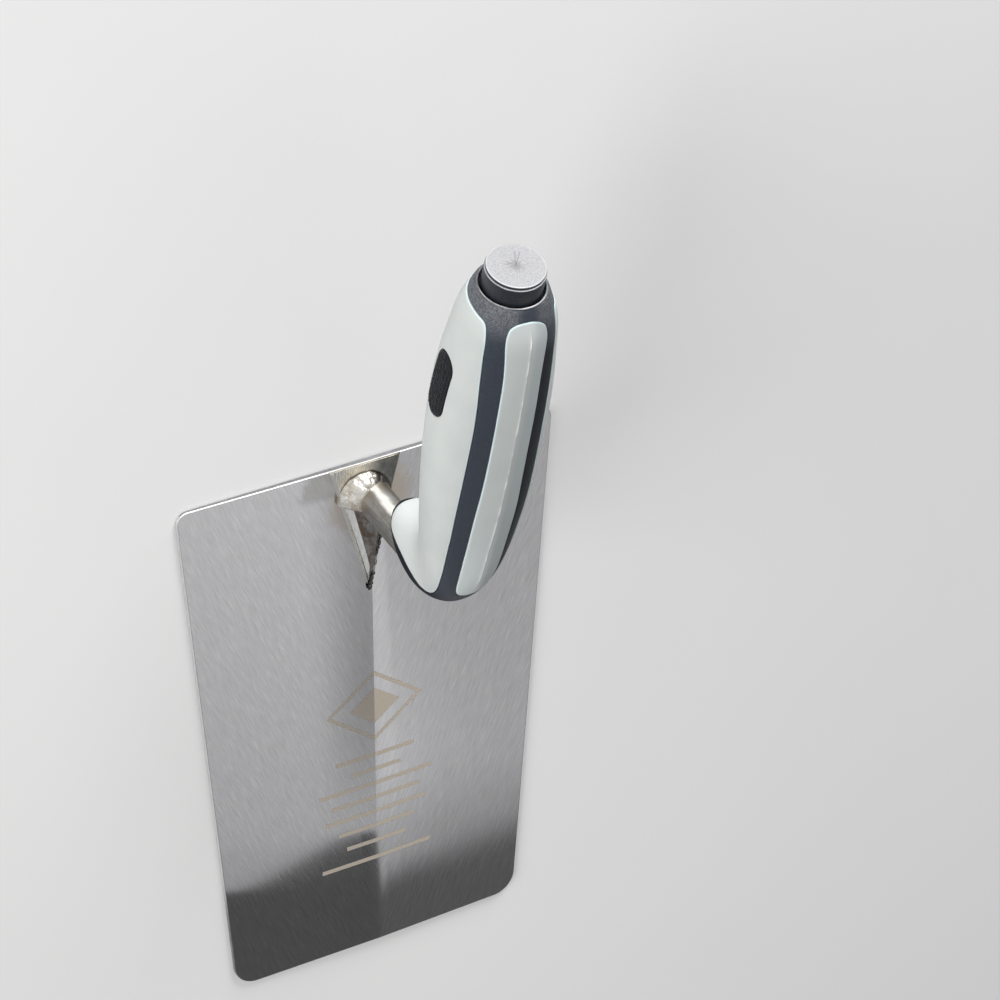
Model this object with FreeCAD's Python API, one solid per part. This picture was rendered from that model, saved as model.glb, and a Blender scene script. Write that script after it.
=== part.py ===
import FreeCAD, Part
import math
import os

# Bucket trowel: a tapered flat steel blade, a cranked round tang welded on a
# triangular foot plate at the heel, and a two-colour moulded handle whose front
# end drops down as a finger guard.
#
# Frame: origin at the centre of the blade's flat underside, +X across the
# blade, +Y from toe to heel (the handle's butt is the +Y end), +Z up.
# The left side is -X. Everything is in millimetres, angles in degrees.

os.makedirs("parts", exist_ok=True)
V = FreeCAD.Vector

# ---------------------------------------------------------------- dimensions
# Blade
BLADE_LENGTH = 165.0
HEEL_WIDTH = 115.0
TOE_WIDTH = 91.5
EDGE_THICKNESS = 1.1       # along the two long edges
RIDGE_THICKNESS = 2.0      # on the centre line
HEEL_CORNER_R = 3.3
TOE_CORNER_R = 7.0
HEEL_Y = BLADE_LENGTH / 2  # heel edge, from which the other pieces are placed
BLADE_TOP = EDGE_THICKNESS  # top of the long edges, datum for handle heights

# Triangular foot plate, its base on the heel edge and its tip towards the toe
FOOT_X = -1.5              # offset from the blade's centre line
FOOT_WIDTH = 22.4
FOOT_LENGTH = 41.5
FOOT_BOTTOM = 1.2          # sunk into the blade, which is then cut away from it
FOOT_TOP = 2.55
FOOT_BEVEL = 1.1           # width of the bevel on the two slanting edges

# Tang: a cranked round rod with a barbed shank inside the handle
TANG_X = -0.4
TANG_R = 5.1
TANG_ROOT_Y = HEEL_Y - 9.9
TANG_LEAN = 6.0            # towards the toe
TANG_BEND_R = 14.0
TANG_INNER_LENGTH = 62.0   # from the end of the bend to the tip
TANG_ROOT_DEPTH = 2.0      # rod runs this far below its root before trimming
SHANK_R = 4.0
SHANK_LENGTH = 44.0
SHANK_OVERLAP = 1.0        # reach back into the rod
SHANK_TIP_LENGTH = 3.0
SHANK_TIP_BEVEL = 1.6
BARB_COUNT = 7
BARB_START = 2.0
BARB_PITCH = (SHANK_LENGTH - 8.0) / BARB_COUNT
BARB_DEPTH = 0.7

# Weld bead around the tang
WELD_X = TANG_X - 2.0
WELD_Y = TANG_ROOT_Y - 0.9
WELD_R = 8.2
WELD_HEIGHT = 4.0
WELD_FRONT_Y = HEEL_Y - 10.6   # the bead is cut off flat here, on its toe side

# Gusset wedge on the toe side of the tang, with a weld seam on each side
GUSSET_BACK_Y = HEEL_Y - 9.6
GUSSET_TIP_Y = HEEL_Y - 38.5
GUSSET_WIDTH = 12.6        # at the back
GUSSET_HEIGHT = 8.0        # at the back, above the foot plate
GUSSET_CREST_SHIFT = 0.4   # sideways, at the back
GUSSET_TIP_WIDTH = 0.7
GUSSET_TIP_HEIGHT = 0.45
SEAM_R = 0.85
SEAM_BACK_INSET = 0.6      # seam axis inside the wedge's side, at the back
SEAM_BACK_SETBACK = 2.5    # seam start, towards the toe from the wedge's back
SEAM_TIP_OFFSET = 0.5      # seam axis from the wedge's middle, at the tip
SEAM_TIP_SETBACK = 0.7     # seam end, towards the heel from the wedge's tip

# Handle stations from butt to guard, in the symmetry plane, measured from the
# heel edge (y) and from the top of the blade's long edges (z):
# spine y, spine z, underside y, underside z, half width
STATIONS = [
    (88.6, 84.4, 94.1, 67.6, 9.0),
    (80.4, 84.8, 88.2, 63.6, 11.8),
    (72.5, 83.6, 82.0, 60.5, 12.9),
    (58.9, 80.4, 71.2, 56.4, 14.4),
    (45.7, 76.8, 58.8, 52.9, 15.1),
    (33.0, 73.1, 45.4, 49.9, 15.0),
    (20.8, 69.2, 31.7, 47.4, 14.4),
    (7.6, 64.3, 18.2, 45.1, 13.1),
    (-4.7, 59.3, 7.6, 42.2, 11.3),
    (-13.6, 53.1, 2.7, 37.4, 9.6),
    (-18.2, 46.2, 1.1, 31.8, 8.6),
    (-20.2, 40.2, 0.6, 26.8, 8.0),
    (-20.3, 35.9, 0.1, 22.9, 7.4),
    (-19.0, 33.0, -1.7, 19.9, 6.8),
]
LAST_STATION = len(STATIONS) - 1
SECTION_EXPONENT = 2.25    # superellipse exponent of the handle's section
RING_POINTS = 40           # interpolation points on a whole section
ARC_POINTS = 25            # interpolation points on a panel's arc
LOFT_STEP = 0.5            # stations between loft sections
TANG_AIM_STATIONS = (7.0, 2.0)  # the tang's inner part lies on this line

# Soft panels. Edge tables: (station, angle from the spine); the top panel lies
# between the two edges over the spine, the wrap panel under the handle.
TOP_PANEL_EDGE = [
    (0.53, 26.0), (1.6, 24.5), (2.3, 21.6), (3.4, 20.0), (4.4, 19.7),
    (5.2, 20.4), (6.0, 22.5), (6.8, 23.6), (7.5, 25.5), (8.2, 24.0),
    (8.62, 20.0)]
WRAP_PANEL_EDGE = [
    (0.62, 61.0), (0.90, 55.5), (1.76, 52.5), (2.41, 48.5), (3.06, 43.7),
    (3.65, 41.5), (4.43, 41.5), (5.38, 43.0), (6.0, 44.4), (6.7, 46.0),
    (7.46, 50.0), (8.3, 53.0), (9.2, 52.0), (9.7, 56.0), (10.1, 70.0),
    (10.5, 86.0), (11.2, 97.0), (11.9, 103.0)]
# Stations of the panels' loft sections
TOP_PANEL_SECTIONS = [0.53, 1.0, 1.6, 2.3, 3.0, 3.7, 4.4, 5.2, 6.0, 6.8, 7.5,
                      8.1, 8.62]
WRAP_PANEL_SECTIONS = [0.62, 1.1, 1.76, 2.41, 3.06, 3.65, 4.43, 5.38, 6.0, 6.7,
                       7.46, 8.3, 9.2, 9.7, 10.1, 10.5, 11.2, 11.9]
PANEL_THICKNESS = 1.7
PANEL_OVERSHOOT = 2.0      # panel cutters reach this far outside the handle

# Side insets: a stadium-shaped pad on each side of the handle
INSET_PROUD = 0.35
INSET_DEPTH = 0.95
INSET_R = 4.1              # end radius, half the pad's width
INSET_ANGLE = 97.0         # of the pad's axis, from the spine
INSET_STATIONS = (2.4, 4.0)    # where the pad ends
INSET_REACH = 30.0         # sideways length of the prism that cuts the pad

# End cap in the butt
CAP_R = 7.75
CAP_HEIGHT = 6.2
CAP_SEAT = 1.0             # the head starts this far inside the butt
CAP_SPIGOT_R = 4.6
CAP_SPIGOT_LENGTH = 13.0
CAP_SPIGOT_BEVEL = 0.8
CAP_GAP = 0.55             # groove between the cap's head and the handle's lip
POCKET_CLEARANCE = 1.0     # beyond the spigot's end
POCKET_OVERSHOOT = 3.0     # pocket cutter past the butt


# ------------------------------------------------------------------- helpers
def unit(vector):
    result = V(vector)
    result.normalize()
    return result


def closed_polygon(points):
    return Part.makePolygon(points + [points[0]])


def largest(shape):
    return max(shape.Solids, key=lambda solid: solid.Volume)


def lathe(profile, base, axis):
    """Revolve a profile of (distance along the axis, radius) points."""
    points = [base + axis * along + V(radius, 0, 0) for along, radius in profile]
    return Part.Face(closed_polygon(points)).revolve(base, axis, 360)


def corner_arc(corner, way_back, way_on, radius):
    """Start, middle and end of the arc rounding a corner between two unit directions."""
    half_angle = way_back.getAngle(way_on) / 2
    bisector = unit(way_back + way_on)
    trim = radius / math.tan(half_angle)
    centre = corner + bisector * (radius / math.sin(half_angle))
    return corner + way_back * trim, centre - bisector * radius, corner + way_on * trim


def rounded_polygon(points, radii):
    arcs = []
    for i, point in enumerate(points):
        following = points[(i + 1) % len(points)]
        arcs.append(corner_arc(point, unit(points[i - 1] - point),
                               unit(following - point), radii[i]))
    edges = []
    for i, (start, middle, end) in enumerate(arcs):
        edges.append(Part.Arc(start, middle, end).toShape())
        edges.append(Part.makeLine(end, arcs[(i + 1) % len(arcs)][0]))
    return Part.Wire(edges)


# ------------------------------------------------------------ handle surface
def natural_spline(values):
    """Cubic spline with natural ends through values at 0, 1, 2, ..."""
    last = len(values) - 1
    # Solve the tridiagonal system (1, 4, 1) for the second derivatives
    diagonal = [4.0] * last
    second = [0.0] * (last + 1)
    for i in range(1, last):
        second[i] = 6.0 * ((values[i + 1] - values[i]) - (values[i] - values[i - 1]))
    for i in range(2, last):
        diagonal[i] -= 1.0 / diagonal[i - 1]
        second[i] -= second[i - 1] / diagonal[i - 1]
    for i in range(last - 1, 0, -1):
        second[i] = (second[i] - second[i + 1]) / diagonal[i]

    def evaluate(x):
        i = min(int(x), last - 1)
        after = x - i
        before = i + 1 - x
        return ((second[i] * before ** 3 + second[i + 1] * after ** 3) / 6
                + (values[i] - second[i] / 6) * before
                + (values[i + 1] - second[i + 1] / 6) * after)
    return evaluate


STATION_CURVES = [natural_spline(column) for column in zip(*STATIONS)]


def spine_and_underside(station):
    spine_y, spine_z, under_y, under_z = [f(station) for f in STATION_CURVES[:4]]
    return (V(0, HEEL_Y + spine_y, BLADE_TOP + spine_z),
            V(0, HEEL_Y + under_y, BLADE_TOP + under_z))


def section_centre(station):
    spine, underside = spine_and_underside(station)
    return (spine + underside) * 0.5


def section_point(station, angle, grow=0.0):
    """Point of the section at an angle from the spine, moved out by grow."""
    spine, underside = spine_and_underside(station)
    half_height = (spine - underside) * 0.5
    half_height = half_height * ((half_height.Length + grow) / half_height.Length)
    half_width = STATION_CURVES[4](station) + grow
    cosine = math.cos(math.radians(angle))
    sine = math.sin(math.radians(angle))
    power = 2.0 / SECTION_EXPONENT
    up = math.copysign(abs(cosine) ** power, cosine)
    across = math.copysign(abs(sine) ** power, sine)
    return section_centre(station) + half_height * up + V(half_width * across, 0, 0)


def section_ring(station, grow):
    points = [section_point(station, 180.0 + 360.0 * i / RING_POINTS, grow)
              for i in range(RING_POINTS)]
    curve = Part.BSplineCurve()
    curve.interpolate(points, PeriodicFlag=True)
    return Part.Wire([curve.toShape()])


def body_loft(grow, first, last):
    steps = int(round((last - first) / LOFT_STEP))
    rings = [section_ring(first + (last - first) * i / steps, grow)
             for i in range(steps + 1)]
    return Part.makeLoft(rings, True, False)


def section_arc(station, start_angle, end_angle, grow):
    """Edge along part of a section, with its two end points."""
    step = (end_angle - start_angle) / (ARC_POINTS - 1)
    points = [section_point(station, start_angle + step * i, grow)
              for i in range(ARC_POINTS)]
    curve = Part.BSplineCurve()
    curve.interpolate(points)
    return curve.toShape(), points[0], points[-1]


def edge_angle(table, station):
    for (station_0, angle_0), (station_1, angle_1) in zip(table, table[1:]):
        if station <= station_1:
            part = (station - station_0) / (station_1 - station_0)
            return angle_0 + (angle_1 - angle_0) * part


def panel_cutter(stations, angle_range):
    """Loft of ring sectors; angle_range gives a station's start and end angle."""
    wires = []
    for station in stations:
        start, end = angle_range(station)
        outside, out_start, out_end = section_arc(station, start, end, PANEL_OVERSHOOT)
        inside, in_end, in_start = section_arc(station, end, start, -PANEL_THICKNESS)
        wires.append(Part.Wire([outside, Part.makeLine(out_end, in_end),
                                inside, Part.makeLine(in_start, out_start)]))
    return Part.makeLoft(wires, True, False)


def top_panel_range(station):
    angle = edge_angle(TOP_PANEL_EDGE, station)
    return -angle, angle


def wrap_panel_range(station):
    angle = edge_angle(WRAP_PANEL_EDGE, station)
    return angle, 360.0 - angle


# -------------------------------------------------------------- steel pieces
def make_blade():
    outline = rounded_polygon(
        [V(-HEEL_WIDTH / 2, HEEL_Y, 0), V(-TOE_WIDTH / 2, -HEEL_Y, 0),
         V(TOE_WIDTH / 2, -HEEL_Y, 0), V(HEEL_WIDTH / 2, HEEL_Y, 0)],
        [HEEL_CORNER_R, TOE_CORNER_R, TOE_CORNER_R, HEEL_CORNER_R])
    plate = Part.Face(outline).extrude(V(0, 0, 4.0))
    # The roof, larger than the blade all round, slopes down from the ridge
    reach_x, reach_y = 70, 100
    fall = (RIDGE_THICKNESS - EDGE_THICKNESS) / (HEEL_WIDTH / 2)
    eaves = RIDGE_THICKNESS - reach_x * fall
    gable = closed_polygon([V(-reach_x, -reach_y, 0), V(reach_x, -reach_y, 0),
                            V(reach_x, -reach_y, eaves),
                            V(0, -reach_y, RIDGE_THICKNESS),
                            V(-reach_x, -reach_y, eaves)])
    roof = Part.Face(gable).extrude(V(0, 2 * reach_y, 0))
    return largest(plate.common(roof))


def make_foot_plate(blade):
    def triangle(inset_x, inset_y, z):
        half_width = FOOT_WIDTH / 2 - inset_x
        return closed_polygon([V(FOOT_X - half_width, HEEL_Y, z),
                               V(FOOT_X + half_width, HEEL_Y, z),
                               V(FOOT_X, HEEL_Y - FOOT_LENGTH + inset_y, z)])

    slant = math.hypot(FOOT_WIDTH / 2, FOOT_LENGTH)
    top = triangle(FOOT_BEVEL * slant / FOOT_LENGTH,
                   FOOT_BEVEL * slant / (FOOT_WIDTH / 2), FOOT_TOP)
    plate = Part.makeLoft([triangle(0, 0, FOOT_BOTTOM), top], True, True)
    return largest(plate.cut(blade))


def make_shank(base, axis):
    profile = [(-SHANK_OVERLAP, 0.0), (-SHANK_OVERLAP, SHANK_R), (BARB_START, SHANK_R)]
    for i in range(BARB_COUNT):
        along = BARB_START + i * BARB_PITCH
        profile += [(along + BARB_PITCH * 0.62, SHANK_R),
                    (along + BARB_PITCH * 0.70, SHANK_R - BARB_DEPTH),
                    (along + BARB_PITCH, SHANK_R)]
    profile += [(SHANK_LENGTH - SHANK_TIP_LENGTH, SHANK_R),
                (SHANK_LENGTH, SHANK_R - SHANK_TIP_BEVEL), (SHANK_LENGTH, 0.0)]
    return lathe(profile, base, axis)


def make_tang():
    lean = math.radians(TANG_LEAN)
    rise = V(0, -math.sin(lean), math.cos(lean))
    root = V(TANG_X, TANG_ROOT_Y, BLADE_TOP)
    front, back = [section_centre(station) + V(TANG_X, 0, 0)
                   for station in TANG_AIM_STATIONS]
    inward = unit(back - front)
    # Corner where the rising line meets the line inside the handle
    distance = inward.cross(front - root).x / inward.cross(rise).x
    corner = root + rise * distance
    bend_start, bend_middle, bend_end = corner_arc(corner, rise * -1, inward, TANG_BEND_R)

    start = root - rise * TANG_ROOT_DEPTH
    rod_end = bend_end + inward * (TANG_INNER_LENGTH - SHANK_LENGTH)
    path = Part.Wire([Part.makeLine(start, bend_start),
                      Part.Arc(bend_start, bend_middle, bend_end).toShape(),
                      Part.makeLine(bend_end, rod_end)])
    section = Part.Wire([Part.makeCircle(TANG_R, start, rise)])
    rod = path.makePipeShell([section], True, False)
    tang = rod.fuse(make_shank(rod_end, inward)).removeSplitter()
    # Trim the root flat on the foot plate
    below_foot = Part.makeBox(60, 60, 20, V(-30, HEEL_Y - 45, FOOT_TOP - 20))
    return largest(tang.cut(below_foot))


def make_full_bead():
    """The bead with the tang not yet cut out of it."""
    profile = [(0.0, 0.0), (0.0, WELD_R), (0.9, WELD_R - 0.25), (2.1, WELD_R - 1.3),
               (3.1, WELD_R - 2.5), (WELD_HEIGHT, WELD_R - 3.6), (WELD_HEIGHT, 0.0)]
    bead = lathe(profile, V(WELD_X, WELD_Y, FOOT_TOP), V(0, 0, 1))
    return bead.common(Part.makeBox(40, 30, 12, V(-20, WELD_FRONT_Y, FOOT_TOP)))


def make_wedge():
    """The gusset with the tang and bead not yet cut out of it."""
    def triangle(width, height, y, crest_shift):
        return closed_polygon([V(FOOT_X - width / 2, y, FOOT_TOP),
                               V(FOOT_X + width / 2, y, FOOT_TOP),
                               V(FOOT_X + crest_shift, y, FOOT_TOP + height)])

    return Part.makeLoft(
        [triangle(GUSSET_WIDTH, GUSSET_HEIGHT, GUSSET_BACK_Y, GUSSET_CREST_SHIFT),
         triangle(GUSSET_TIP_WIDTH, GUSSET_TIP_HEIGHT, GUSSET_TIP_Y, 0.0)], True, True)


def make_seam(side, wedge, tang, full_bead):
    start = V(FOOT_X + side * (GUSSET_WIDTH / 2 - SEAM_BACK_INSET),
              GUSSET_BACK_Y - SEAM_BACK_SETBACK, FOOT_TOP)
    end = V(FOOT_X + side * SEAM_TIP_OFFSET, GUSSET_TIP_Y + SEAM_TIP_SETBACK, FOOT_TOP)
    run = end - start
    rod = Part.makeCylinder(SEAM_R, run.Length, start, run)
    above_foot = Part.makeBox(60, 80, 20, V(-30, HEEL_Y - 75, FOOT_TOP))
    return largest(rod.common(above_foot).cut(wedge).cut(tang).cut(full_bead))


# ------------------------------------------------------------- handle pieces
def make_cap_and_pocket():
    """End cap, and the cutter for its pocket in the handle core."""
    spine, underside = spine_and_underside(0.0)
    base = section_centre(0.0)
    axis = unit(V(0, spine.z - underside.z, underside.y - spine.y))
    cap = lathe([(-CAP_SPIGOT_LENGTH, 0.0),
                 (-CAP_SPIGOT_LENGTH, CAP_SPIGOT_R - CAP_SPIGOT_BEVEL),
                 (-CAP_SPIGOT_LENGTH + CAP_SPIGOT_BEVEL, CAP_SPIGOT_R),
                 (-CAP_SEAT, CAP_SPIGOT_R), (-CAP_SEAT, CAP_R),
                 # softened rim of the head
                 (CAP_HEIGHT - 0.6, CAP_R), (CAP_HEIGHT - 0.25, CAP_R - 0.18),
                 (CAP_HEIGHT, CAP_R - 0.7), (CAP_HEIGHT, 0.0)], base, axis)
    pocket_end = -CAP_SPIGOT_LENGTH - POCKET_CLEARANCE
    pocket = lathe([(pocket_end, 0.0), (pocket_end, CAP_SPIGOT_R),
                    (-CAP_SEAT, CAP_SPIGOT_R), (-CAP_SEAT, CAP_R + CAP_GAP),
                    (POCKET_OVERSHOOT, CAP_R + CAP_GAP), (POCKET_OVERSHOOT, 0.0)],
                   base, axis)
    return cap, pocket


def inset_prism(side):
    """Stadium in the symmetry plane, extruded out to one side."""
    back, front = [section_point(station, side * INSET_ANGLE)
                   for station in INSET_STATIONS]
    back.x = front.x = 0
    along = unit(front - back) * INSET_R
    normal = V(0, -along.z, along.y)
    back = back + along
    front = front - along
    outline = Part.Wire([
        Part.makeLine(back + normal, front + normal),
        Part.Arc(front + normal, front + along, front - normal).toShape(),
        Part.makeLine(front - normal, back - normal),
        Part.Arc(back - normal, back - along, back + normal).toShape()])
    return Part.Face(outline).extrude(V(side * INSET_REACH, 0, 0))


def make_insets():
    """Left and right pads, cut from a shell that follows the handle."""
    proud = body_loft(INSET_PROUD, 1.5, 5.0)
    sunk = body_loft(-INSET_DEPTH, 1.0, 5.5)
    shell = proud.cut(sunk)
    return [largest(shell.common(inset_prism(side))) for side in (-1, 1)]


# --------------------------------------------------------- build and export
blade = make_blade()
tang = make_tang()
full_bead = make_full_bead()
wedge = make_wedge()

handle_body = body_loft(0.0, 0.0, LAST_STATION)
top_cutter = panel_cutter(TOP_PANEL_SECTIONS, top_panel_range)
wrap_cutter = panel_cutter(WRAP_PANEL_SECTIONS, wrap_panel_range)
core = largest(handle_body.cut(top_cutter).cut(wrap_cutter))
full_wrap_panel = largest(wrap_cutter.common(handle_body))
end_cap, cap_pocket = make_cap_and_pocket()
inset_left, inset_right = make_insets()

PIECES = {
    "blade": blade,
    "foot_plate": make_foot_plate(blade),
    "tang": tang,
    "tang_weld_bead": largest(full_bead.cut(tang)),
    "tang_gusset": largest(wedge.cut(tang).cut(full_bead)),
    "gusset_weld_left": make_seam(-1, wedge, tang, full_bead),
    "gusset_weld_right": make_seam(1, wedge, tang, full_bead),
    "handle_core": largest(core.cut(cap_pocket).cut(tang)),
    "grip_top_panel": largest(top_cutter.common(handle_body)),
    "grip_wrap_panel": largest(full_wrap_panel.cut(inset_left).cut(inset_right)),
    "side_inset_left": inset_left,
    "side_inset_right": inset_right,
    "end_cap": end_cap,
}
for name, shape in PIECES.items():
    shape.exportStep("parts/%s.step" % name)
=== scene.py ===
"""A hand trowel lying flat: blade, foot plate, welded tang and a cranked two-colour handle.

Built in millimetres and scaled to metres when a mesh is made. The blade lies on z = 0 and is
centred on the origin, its wide heel towards +Y and its toe towards -Y. The handle rises over
the heel and its butt points to +Y. Left is -X and right is +X.
"""
import math

import bmesh
import bpy
import numpy as np
from mathutils import Matrix, Vector, kdtree, noise
from mathutils.geometry import delaunay_2d_cdt


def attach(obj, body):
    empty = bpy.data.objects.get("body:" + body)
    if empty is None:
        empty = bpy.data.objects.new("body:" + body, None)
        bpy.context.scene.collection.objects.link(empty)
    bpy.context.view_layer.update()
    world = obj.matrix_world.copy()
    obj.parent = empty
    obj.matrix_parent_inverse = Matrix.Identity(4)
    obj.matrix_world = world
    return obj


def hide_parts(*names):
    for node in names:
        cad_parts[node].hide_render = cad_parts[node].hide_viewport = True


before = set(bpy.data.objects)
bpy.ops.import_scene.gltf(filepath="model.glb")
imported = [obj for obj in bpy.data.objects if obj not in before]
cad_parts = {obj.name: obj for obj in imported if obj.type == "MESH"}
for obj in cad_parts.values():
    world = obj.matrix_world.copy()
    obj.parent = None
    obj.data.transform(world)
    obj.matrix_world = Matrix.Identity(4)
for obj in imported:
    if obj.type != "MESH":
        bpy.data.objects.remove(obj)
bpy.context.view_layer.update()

MM = 0.001
LEFT, RIGHT = -1, 1

# ---------------------------------------------------------------- main dimensions
BLADE_LENGTH, HEEL_WIDTH, TOE_WIDTH = 165.0, 115.0, 91.5
EDGE_THICKNESS, RIDGE_THICKNESS = 1.1, 2.0
HEEL_RADIUS, TOE_RADIUS = 3.3, 7.0
HEEL_Y = BLADE_LENGTH / 2.0
RIDGE_SLOPE = (RIDGE_THICKNESS - EDGE_THICKNESS) / (HEEL_WIDTH / 2)

FOOT_WIDTH, FOOT_LENGTH, FOOT_TOP, FOOT_X = 22.4, 41.5, 2.55, -1.5

TANG_RADIUS = 5.1
TANG_LEAN = math.radians(6.0)                       # towards the toe
TANG_X, TANG_Y = -0.4, HEEL_Y - 9.9
TANG_ROOT = np.array([TANG_X, TANG_Y, EDGE_THICKNESS])
TANG_AXIS = np.array([0.0, -math.sin(TANG_LEAN), math.cos(TANG_LEAN)])
TANG_END = 31.0                                     # along the axis from the root
WELD_X, WELD_Y = TANG_X - 2.0, TANG_Y - 0.9         # middle of the bead round the tang

CAP_RADIUS, CAP_HEIGHT = 7.75, 6.2
LIP_RADIUS = 8.3                                    # hole in the butt that holds the cap

PANEL_RISE = 0.16                                   # panels stand proud of the handle
PANEL_DEPTH = 1.25
RECESS_DEPTH = 1.45
GAP = 0.09                                          # seam beside each panel and inset
INSET_RADIUS = 4.1
INSET_DEPTH = 0.9
INSET_RISE = 0.30
HOLE_DEPTH = 1.0                                    # the wrap panel's hole for the inset

# ---------------------------------------------------------------- handle surface
# Cross-sections from the butt to the nose. Columns: top y, top z, bottom y, bottom z (from the
# heel edge and from EDGE_THICKNESS up), half width. A point on the surface has a station
# (a fractional row) and an angle in degrees: 0 at the top, +-180 below, negative on the left.
STATIONS = np.array([
    (88.6, 84.4, 94.1, 67.6, 9.0),
    (80.4, 84.8, 88.2, 63.6, 11.8),
    (72.5, 83.6, 82.0, 60.5, 12.9),
    (58.9, 80.4, 71.2, 56.4, 14.4),
    (45.7, 76.8, 58.8, 52.9, 15.1),
    (33.0, 73.1, 45.4, 49.9, 15.0),
    (20.8, 69.2, 31.7, 47.4, 14.4),
    (7.6, 64.3, 18.2, 45.1, 13.1),
    (-4.7, 59.3, 7.6, 42.2, 11.3),
    (-13.6, 53.1, 2.7, 37.4, 9.6),
    (-18.2, 46.2, 1.1, 31.8, 8.6),
    (-20.2, 40.2, 0.6, 26.8, 8.0),
    (-20.3, 35.9, 0.1, 22.9, 7.4),
    (-19.0, 33.0, -1.7, 19.9, 6.8),
])
SECTION_POWER = 2.25                                # superellipse exponent of a section
COUNT = len(STATIONS)
LAST_STATION = COUNT - 1.0
HALF_WIDTH = 4                                      # column


def second_derivatives(values):
    """Natural cubic spline through equally spaced values."""
    matrix = np.zeros((COUNT, COUNT))
    target = np.zeros(COUNT)
    matrix[0, 0] = matrix[-1, -1] = 1.0
    for i in range(1, COUNT - 1):
        matrix[i, i - 1:i + 2] = 1.0, 4.0, 1.0
        target[i] = 6.0 * (values[i + 1] - 2 * values[i] + values[i - 1])
    return np.linalg.solve(matrix, target)


CURVATURES = [second_derivatives(column) for column in STATIONS.T]


def station_value(column, u):
    """The splined value of a column of STATIONS at station u."""
    u = np.clip(np.asarray(u, float), 0.0, LAST_STATION)
    i = np.minimum(u.astype(int), COUNT - 2)
    t = u - i
    rest = 1.0 - t
    values, curve = STATIONS[:, column], CURVATURES[column]
    return ((curve[i] * rest ** 3 + curve[i + 1] * t ** 3) / 6.0
            + (values[i] - curve[i] / 6.0) * rest + (values[i + 1] - curve[i + 1] / 6.0) * t)


def section(u):
    """Middle (y, z), half height vector (y, z) and half width of the section at station u."""
    top_y, top_z, low_y, low_z, width = [station_value(k, u) for k in range(5)]
    return ((top_y + low_y) / 2, (top_z + low_z) / 2,
            (top_y - low_y) / 2, (top_z - low_z) / 2, width)


def surf(u, deg):
    """Points of the handle's outer surface for stations and angles."""
    u, deg = np.broadcast_arrays(np.asarray(u, float), np.asarray(deg, float))
    mid_y, mid_z, half_y, half_z, width = section(u)
    cos, sin = np.cos(np.radians(deg)), np.sin(np.radians(deg))
    power = 2.0 / SECTION_POWER
    high = np.sign(cos) * np.abs(cos) ** power
    wide = np.sign(sin) * np.abs(sin) ** power
    return np.stack([width * wide, HEEL_Y + mid_y + half_y * high,
                     EDGE_THICKNESS + mid_z + half_z * high], -1)


def unit(v):
    return v / np.maximum(np.linalg.norm(v, axis=-1, keepdims=True), 1e-12)


def surf_normal(u, deg):
    u, deg = np.broadcast_arrays(np.asarray(u, float), np.asarray(deg, float))
    _, _, half_y, half_z, width = section(u)
    half = np.hypot(half_y, half_z)
    cos, sin = np.cos(np.radians(deg)), np.sin(np.radians(deg))
    power = 2.0 / SECTION_POWER
    slope_x = np.sign(sin) * (np.abs(sin) ** power) ** (SECTION_POWER - 1) / width
    slope_h = np.sign(cos) * (np.abs(cos) ** power) ** (SECTION_POWER - 1) / half
    slope_x, slope_h = slope_x[..., None], slope_h[..., None]
    height_dir = np.stack([np.zeros_like(half_y), half_y / half, half_z / half], -1)
    x_dir = np.array([1.0, 0.0, 0.0])
    gradient = slope_x * x_dir + slope_h * height_dir
    around = slope_h * x_dir - slope_x * height_dir
    along = (surf(np.minimum(u + 0.02, LAST_STATION), deg)
             - surf(np.maximum(u - 0.02, 0.0), deg))
    normal = unit(np.cross(around, along))
    flip = np.sign((normal * gradient).sum(-1, keepdims=True))
    flip[flip == 0] = 1.0
    return normal * flip


def on_surface(uv, height=0.0):
    return surf(*uv.T) + surf_normal(*uv.T) * height


# The surface is triangulated flat, in "st": s runs along the handle and t around it, in mm.
# "uv" is always (station, angle).
GRID_U = np.linspace(0.0, LAST_STATION, 1301)
GRID_MID = np.stack([(station_value(0, GRID_U) + station_value(2, GRID_U)) / 2,
                     (station_value(1, GRID_U) + station_value(3, GRID_U)) / 2], -1)
GRID_S = np.concatenate([[0.0], np.cumsum(np.linalg.norm(np.diff(GRID_MID, axis=0), axis=1))])
MM_PER_DEGREE = 0.21


def to_st(uv):
    uv = np.asarray(uv, float)
    return np.stack([np.interp(uv[:, 0], GRID_U, GRID_S), uv[:, 1] * MM_PER_DEGREE], -1)


def to_uv(st):
    st = np.asarray(st, float)
    return np.stack([np.interp(st[:, 0], GRID_S, GRID_U), st[:, 1] / MM_PER_DEGREE], -1)


# ---------------------------------------------------------------- curves on the surface
def smooth_curve(points, count=14):
    """Centripetal Catmull-Rom curve; the two end points only steer it."""
    points = [np.asarray(p, float) for p in points]

    def knot(p, q):
        return max(np.linalg.norm(q - p), 1e-6) ** 0.5

    def between(p, q, start, end, t):
        return (end - t) / (end - start) * p + (t - start) / (end - start) * q

    curve = []
    for p0, p1, p2, p3 in zip(points, points[1:], points[2:], points[3:]):
        t1 = knot(p0, p1)
        t2 = t1 + knot(p1, p2)
        t3 = t2 + knot(p2, p3)
        for t in np.linspace(t1, t2, count, endpoint=False):
            a1 = between(p0, p1, 0.0, t1, t)
            a2 = between(p1, p2, t1, t2, t)
            a3 = between(p2, p3, t2, t3, t)
            b1 = between(a1, a2, 0.0, t2, t)
            b2 = between(a2, a3, t1, t3, t)
            curve.append(between(b1, b2, t1, t2, t))
    curve.append(points[-2])
    return np.array(curve)


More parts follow.
